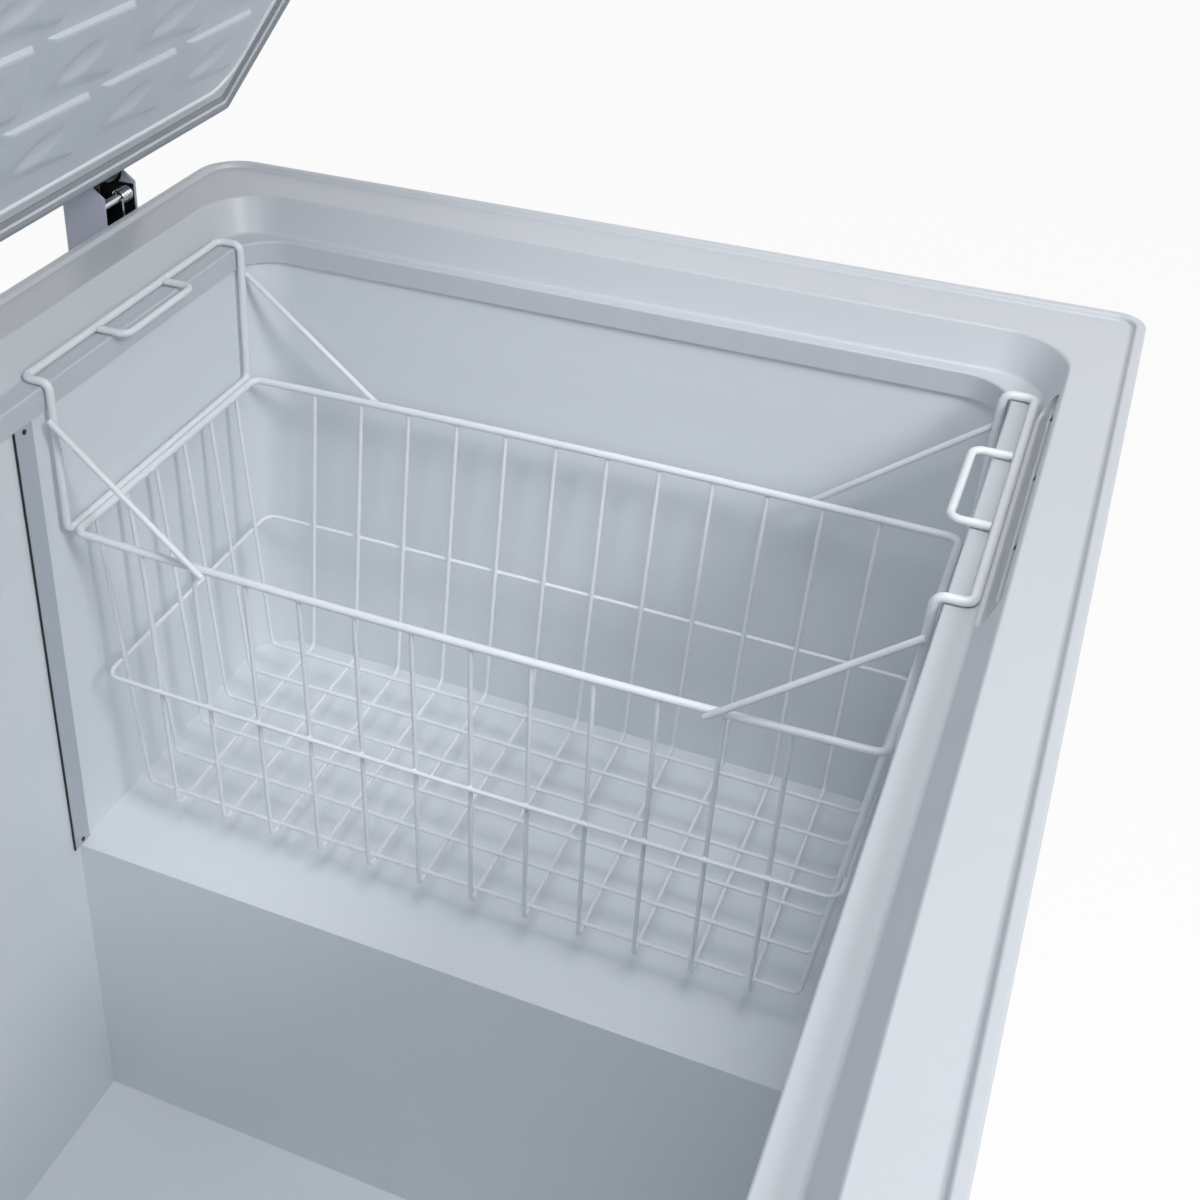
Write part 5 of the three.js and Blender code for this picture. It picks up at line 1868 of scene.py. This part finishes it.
@dataclass
class Controls:
    """The control panel: its eased parts and plain scale marks round the knob.

    Attributes:
        marks: number of marks on the scale.
        sweep: angle between the first and the last mark, in degrees.
        ring: radius of the scale.
        half: half width of a mark, rise how far it stands out.
        tall: half height of the first mark, and grow how much each next one gains.
    """

    marks: int = 7
    sweep: float = 270.0
    ring: float = 0.0235
    half: float = 0.0005
    rise: float = 0.0004
    tall: float = 0.0012
    grow: float = 0.0003

    def build(self) -> None:
        """Builds the eased panel parts and the scale."""
        for node in ("control_bezel", "thermostat_knob", "fast_freeze_switch"):
            softened(node, 0.0005)
        low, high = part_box("thermostat_knob")
        face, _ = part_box("control_bezel")
        bench = Bench("control_scale_marks")
        middle = (low + high) / 2
        for number in range(self.marks):
            turn = math.radians(self.sweep * (number / (self.marks - 1) - 0.5))
            tall = self.tall + self.grow * number
            x = middle.x + self.ring * math.sin(turn)
            z = middle.z + self.ring * math.cos(turn)
            bench.box(
                (x - self.half, face[1], z - tall), (x + self.half, face[1] + self.rise, z + tall)
            )
        hand_over(bench.done(), "cabinet", Finish.BLACK_PLASTIC)


# ---------------------------------------------------------------------------
# Basket
# ---------------------------------------------------------------------------


@dataclass
class Basket:
    """The wire basket that hangs from the ledges.

    Attributes:
        half_short: the ring's half width along X at its corners.
        half_long: its half length along Y.
        bow: how far its long sides stand out in their middle.
        bottom: height of the cross wires' flat run.
        bottom_half_short: where the cross wires turn up.
        bottom_half_long: where the long wires turn up.
        mid: height of the middle ring.
        hanger: height of the hangers' top bars.
        cross_wires: number of cross wires, and cross_pitch their spacing.
        long_wires: number of long wires, with their spacing and shift.
        thick: radius of the ring's wire, thin, handle_wire, brace_wire those of the others.
        bend: radius of the cage wires' bends.
        corner: radius of the ring's corners, mid_corner of the middle ring's.
        hanger_gap: hanger outside the ring, hanger_reach its top bar beyond the uprights.
        hanger_bend: radius of the hanger's bends, handle_bend of the handle's.
        handle_half: half length of a handle, handle_reach how far it stands inwards.
        brace_top: height where a brace leaves the upright.
        brace_foot: where it passes the ring, from the middle; brace_tip its end beyond that.
        fit: gap between wires that touch.
        sink: how far crossing wires sink into each other, and weld the radius of a weld bead.
        weld_rise: how far above the ring's underside its beads lie.
    """

    half_short: float = 0.1097
    half_long: float = 0.241
    bow: float = 0.0045
    bottom: float = 0.3718
    bottom_half_short: float = 0.098
    bottom_half_long: float = 0.2215
    mid: float = 0.4736
    hanger: float = 0.6798
    cross_wires: int = 12
    cross_pitch: float = 0.03525
    long_wires: int = 6
    long_pitch: float = 0.0344
    long_shift: float = -0.002
    thick: float = 0.0025
    thin: float = 0.00145
    handle_wire: float = 0.0023
    brace_wire: float = 0.002
    bend: float = 0.006
    corner: float = 0.007
    mid_corner: float = 0.009
    hanger_gap: float = 0.0051
    hanger_reach: float = 0.0169
    hanger_bend: float = 0.005
    handle_bend: float = 0.006
    handle_half: float = 0.038
    handle_reach: float = 0.023
    brace_top: float = 0.658
    brace_foot: float = 0.1517
    brace_tip: float = 0.0035
    fit: float = 0.0003
    sink: float = 0.0002
    weld: float = 0.0019
    weld_rise: float = 0.0004

    @cached_property
    def middle(self) -> Vector:
        """The basket's middle, at the height of its ring."""
        low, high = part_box("basket_ring")
        return (low + high) / 2

    def at(self, x: float, y: float, z: float) -> Vector:
        """A point from the basket's middle in plan and the floor in height."""
        return Vector((self.middle.x + x, self.middle.y + y, z))

    def bowed(self, y: float) -> float:
        """How far the ring's long side stands out at a place along it."""
        return self.bow * (1 - (y / self.half_long) ** 2)

    def cross_places(self) -> list[float]:
        """The cross wires' places along Y."""
        count = self.cross_wires
        return [(i - (count - 1) / 2) * self.cross_pitch for i in range(count)]

    def long_places(self) -> list[float]:
        """The long wires' places along X."""
        count = self.long_wires
        return [(i - (count - 1) / 2) * self.long_pitch + self.long_shift for i in range(count)]

    def narrowed(self, top: float, bottom: float) -> float:
        """The cage's half size at the middle ring, from its half sizes at top and bottom."""
        share = (self.middle.z - self.mid) / (self.middle.z - self.bottom)
        return top + (bottom - top) * share

    def add_ring(
        self, bench: Bench, half_x: float, half_y: float, z: float, bow: float, corner: float,
        radius: float,
    ) -> None:
        """Draws a level ring whose long sides bow outwards.

        Args:
            bench: the piece under construction.
            half_x: half width at the corners.
            half_y: half length.
            z: height.
            bow: how far the long sides stand out in their middle.
            corner: radius of its corners.
            radius: of the wire.
        """
        chord = half_y - corner
        sag = bow * (chord / half_y) ** 2
        arc = (chord**2 + sag**2) / (2 * sag)
        lean = math.degrees(math.asin(chord / arc))
        run = half_x + bow - sag - corner * math.cos(math.radians(lean))
        wire = Wire(bench, self.at(0, -half_y, z), RIGHTWARDS, radius)
        wire.ahead(run)
        for next_run in (2 * run, run):
            wire.turn(corner, 90 - lean, UP)
            wire.turn(arc, 2 * lean, UP, steps=16)
            wire.turn(corner, 90 - lean, UP)
            wire.ahead(next_run)

    def hand_wire(self, bench: Bench, node: str, smooth: float = 40, merge: float = 2e-6) -> None:
        """Finishes a piece of the basket.

        Args:
            bench: the piece under construction.
            node: the CAD node it stands for.
            smooth: angle in degrees under which faces shade as one.
            merge: distance under which vertices merge.
        """
        hand_over(bench.done(smooth, merge), "basket", Finish.BASKET_WIRE, node)

    def build_ring(self) -> None:
        """The thick ring round the top of the cage."""
        bench = Bench("basket_ring_wire")
        half_x, half_y, z = self.half_short, self.half_long, self.middle.z
        self.add_ring(bench, half_x, half_y, z, self.bow, self.corner, self.thick)
        self.hand_wire(bench, "basket_ring", merge=2e-5)

    def build_wires(self, name: str, lines: list[list[Vector]]) -> None:
        """The cage's U-bent wires that run one way.

        Args:
            name: the piece's name.
            lines: the four corners of each wire.
        """
        bench = Bench(name)
        for line in lines:
            Wire(bench, line[0], line[1] - line[0], self.thin).through(line[1:], self.bend)
        bench.close_ends()
        self.hand_wire(bench, "basket_cage")

    def build_cage(self) -> None:
        """The cross wires, the long wires that lie on them and the middle ring round both."""
        top = self.middle.z - self.thick
        lines = []
        for y in self.cross_places():
            half = self.half_short + self.bowed(y)
            reach = self.bottom_half_short
            corners = ((-half, top), (-reach, self.bottom), (reach, self.bottom), (half, top))
            lines.append([self.at(x, y, z) for x, z in corners])
        self.build_wires("basket_cross_wires", lines)
        over = self.bottom + 2 * self.thin - self.sink
        half, reach = self.half_long, self.bottom_half_long
        corners = ((-half, top), (-reach, over), (reach, over), (half, top))
        lines = [[self.at(x, y, z) for y, z in corners] for x in self.long_places()]
        self.build_wires("basket_long_wires", lines)
        outside = 2 * self.thin - self.sink
        half_x = self.narrowed(self.half_short, self.bottom_half_short) + outside
        half_y = self.narrowed(self.half_long, self.bottom_half_long) + outside
        bow = self.narrowed(self.bow, 0.0)
        bench = Bench("basket_middle_ring")
        self.add_ring(bench, half_x, half_y, self.mid, bow, self.mid_corner, self.thin)
        self.hand_wire(bench, "basket_cage", merge=2e-5)

    def build_welds(self) -> None:
        """A small bead where the wires cross and where they meet the rings."""
        under_ring = self.middle.z - self.thick + self.weld_rise
        places: list[Vector] = []
        for y in self.cross_places():
            half = self.half_short + self.bowed(y)
            at_mid = self.narrowed(half, self.bottom_half_short) + self.thin
            for sign in (-1, 1):
                places.append(self.at(sign * half, y, under_ring))
                places.append(self.at(sign * at_mid, y, self.mid))
            places += [self.at(x, y, self.bottom + self.thin) for x in self.long_places()]
        at_mid = self.narrowed(self.half_long, self.bottom_half_long) + self.thin
        for x in self.long_places():
            for sign in (-1, 1):
                places.append(self.at(x, sign * self.half_long, under_ring))
                places.append(self.at(x, sign * at_mid, self.mid))
        bench = Bench("basket_weld_beads")
        for place in places:
            bpy.ops.mesh.primitive_ico_sphere_add(subdivisions=1, radius=self.weld, location=place)
        self.hand_wire(bench, "basket_cage", 80, 1e-7)

    def build_hanger(self, side: Side) -> None:
        """The open frame that hooks over the ledge, with its handle.

        Args:
            side: the ledge it hangs on.
        """
        sign, half, ring = side.value, self.half_short, self.middle.z
        upright = sign * (self.half_long + self.hanger_gap)
        out = sign * (self.half_long + self.hanger_gap + self.hanger_reach)
        corners = [
            self.at(half, upright, ring),
            self.at(half, upright, self.hanger),
            self.at(half, out, self.hanger),
            self.at(-half, out, self.hanger),
            self.at(-half, upright, self.hanger),
            self.at(-half, upright, ring),
            self.at(0, upright, ring),
        ]
        bench = Bench(f"basket_hanger_wire_{name_of(side)}")
        wire = Wire(bench, self.at(0, upright, ring), RIGHTWARDS, self.thick)
        wire.through(corners, self.hanger_bend)
        self.hand_wire(bench, f"basket_hanger_{name_of(side)}", merge=3e-5)
        weld = out - sign * (self.thick + self.fit)
        inwards = out - sign * self.handle_reach
        handle = self.handle_half
        plan = ((-handle, weld), (-handle, inwards), (handle, inwards), (handle, weld))
        start, *corners = [self.at(x, y, self.hanger) for x, y in plan]
        bench = Bench(f"basket_handle_wire_{name_of(side)}")
        wire = Wire(bench, start, corners[0] - start, self.handle_wire)
        wire.through(corners, self.handle_bend)
        bench.close_ends()
        self.hand_wire(bench, f"basket_handle_{name_of(side)}")

    def build_brace(self, side: Side, end: End) -> None:
        """The slanting brace from a hanger's upright to the ring.

        Args:
            side: the hanger it starts at.
            end: the end of the hanger it starts at.
        """
        beside = self.thick + self.brace_wire + self.fit
        upright = side.value * (self.half_long + self.hanger_gap)
        start = self.at(end.value * (self.half_short + beside), upright, self.brace_top)
        pass_x = self.half_short + self.bowed(self.brace_foot) + beside
        passing = self.at(end.value * pass_x, side.value * self.brace_foot, self.middle.z)
        along = passing - start
        bench = Bench(f"basket_brace_wire_{name_of(side, end)}")
        Wire(bench, start, along, self.brace_wire).ahead(along.length + self.brace_tip)
        bench.close_ends()
        bench.chamfer(0.0006, 2)
        self.hand_wire(bench, f"basket_brace_{name_of(side, end)}", 50)

    def build(self) -> None:
        """Builds the whole basket."""
        self.build_ring()
        self.build_cage()
        self.build_welds()
        for side in Side:
            self.build_hanger(side)
            for end in End:
                self.build_brace(side, end)


# ---------------------------------------------------------------------------
# Camera, light and floor
# ---------------------------------------------------------------------------

PLAIN_WHITE: Inputs = {"Color": (1.0, 1.0, 1.0, 1.0), "Strength": 1.0}


@dataclass(frozen=True)
class SoftLamp:
    """One soft square lamp.

    Attributes:
        name: the lamp's name.
        place: its middle.
        target: the point it faces.
        size: length of its side in metres.
        power: in watts.
    """

    name: str
    place: Point
    target: Point
    size: float
    power: float

    def build(self) -> None:
        """Adds the lamp."""
        data = bpy.data.lights.new(self.name, "AREA")
        data.shape = "SQUARE"
        data.size = self.size
        data.energy = self.power
        lamp = bpy.data.objects.new(self.name, data)
        lamp.location = self.place
        lamp.rotation_mode = "QUATERNION"
        way = Vector(self.target) - Vector(self.place)
        lamp.rotation_quaternion = way.to_track_quat("-Z", "Y")
        bpy.context.scene.collection.objects.link(lamp)


@dataclass
class Studio:
    """The camera, the soft lamps, the pale floor and the white surroundings.

    Attributes:
        place: the camera's place.
        turn: its rotation in radians.
        lens: focal length in millimetres, for the sensor's width.
        sensor: width of the sensor in millimetres.
        shift: horizontal shift of the lens.
        fill: colour of the light from all round, and fill_strength its strength.
        floor: colour of the floor, floor_size its side in metres.
        floor_white: share of plain white in what the camera sees of the floor.
        lamps: the lamps.
    """

    place: Point = (-0.42360, -0.29566, 1.10936)
    turn: Point = (0.9605041, -0.0044593, -1.1367092)
    lens: float = 48.978
    sensor: float = 36.0
    shift: float = 0.16667
    fill: Colour = (0.95, 0.98, 1.0)
    fill_strength: float = 0.3
    floor: Colour = (0.92, 0.93, 0.94)
    floor_size: float = 16.0
    floor_white: float = 0.93
    lamps: tuple[SoftLamp, ...] = (
        SoftLamp("key", (-0.9, -2.3, 2.75), (0.2, 0.0, 0.7), 0.8, 45.0),
        SoftLamp("fill", (-0.4, -0.5, 2.7), (0.2, 0.0, 0.4), 0.8, 20.0),
        SoftLamp("front", (-2.6, -1.2, 1.75), (0.3, 0.1, 0.8), 1.0, 7.0),
    )

    def build_camera(self) -> None:
        """Sets up the camera, looking down into the right end."""
        data = bpy.data.cameras.new("camera")
        data.sensor_width = self.sensor
        data.lens = self.lens
        data.shift_x = self.shift
        data.clip_start = 0.01
        camera = bpy.data.objects.new("camera", data)
        camera.location = self.place
        camera.rotation_euler = self.turn
        bpy.context.scene.collection.objects.link(camera)
        bpy.context.scene.camera = camera

    def build_world(self) -> None:
        """White surroundings for the camera and reflections, and a soft grey fill for the rest."""
        world = bpy.data.worlds.new("surroundings")
        world.use_nodes = True
        bpy.context.scene.world = world
        nodes = Nodes(world.node_tree)
        nodes.feed("Background", {"Color": (*self.fill, 1.0), "Strength": self.fill_strength})
        white = nodes.value("ShaderNodeBackground", {}, PLAIN_WHITE)
        seen = nodes.seen_by("Camera", "Glossy", "Transmission")
        nodes.feed("World Output", {0: nodes.blended(seen, "Background", white)})

    def build_floor(self) -> None:
        """A plain pale floor that keeps a soft shadow."""
        bench = Bench("studio_floor")
        bpy.ops.mesh.primitive_plane_add(size=self.floor_size, location=(0, 0, 0))
        floor = bench.done()
        surface = Surface("studio_floor", 0.8)
        surface.put(Base_Color=(*self.floor, 1.0))
        white = surface.value("ShaderNodeEmission", {}, PLAIN_WHITE)
        seen = surface.seen_by("Camera") * self.floor_white
        mixed = surface.blended(seen, "Principled BSDF", white)
        surface.feed("Material Output", {0: mixed})
        floor.data.materials.append(surface.material)

    def build(self) -> None:
        """Builds the camera, world, floor and lamps."""
        bpy.context.scene.view_settings.view_transform = "Standard"
        self.build_camera()
        self.build_world()
        self.build_floor()
        for lamp in self.lamps:
            lamp.build()


# ---------------------------------------------------------------------------
# Assembly
# ---------------------------------------------------------------------------

EASED = (
    "cabinet_shell", "lid_handle", "back_panel", "machine_room_grille", "base_pan",
    "drain_cap", "drain_plug", "drain_tube",
    "foot_front_left", "foot_front_right", "foot_back_left", "foot_back_right",
)


def dress_cad_nodes() -> None:
    """Gives every carried-over CAD node the finish of its slot."""
    for name, node in frame["nodes"].items():
        node.data.materials.clear()
        node.data.materials.append(PALETTE.of(SLOT_FINISH[name]))


def main() -> None:
    """Builds the studio, the finishes and the pieces in order."""
    logging.basicConfig(level=logging.INFO, format="%(message)s")
    Studio().build()
    dress_cad_nodes()
    for part in (TopFrame(), Liner(), Lamp(), Lid(), *map(Hinge, End), Controls(), Basket()):
        part.build()
    for node in EASED:
        softened(node)


if __name__ == "__main__":
    main()
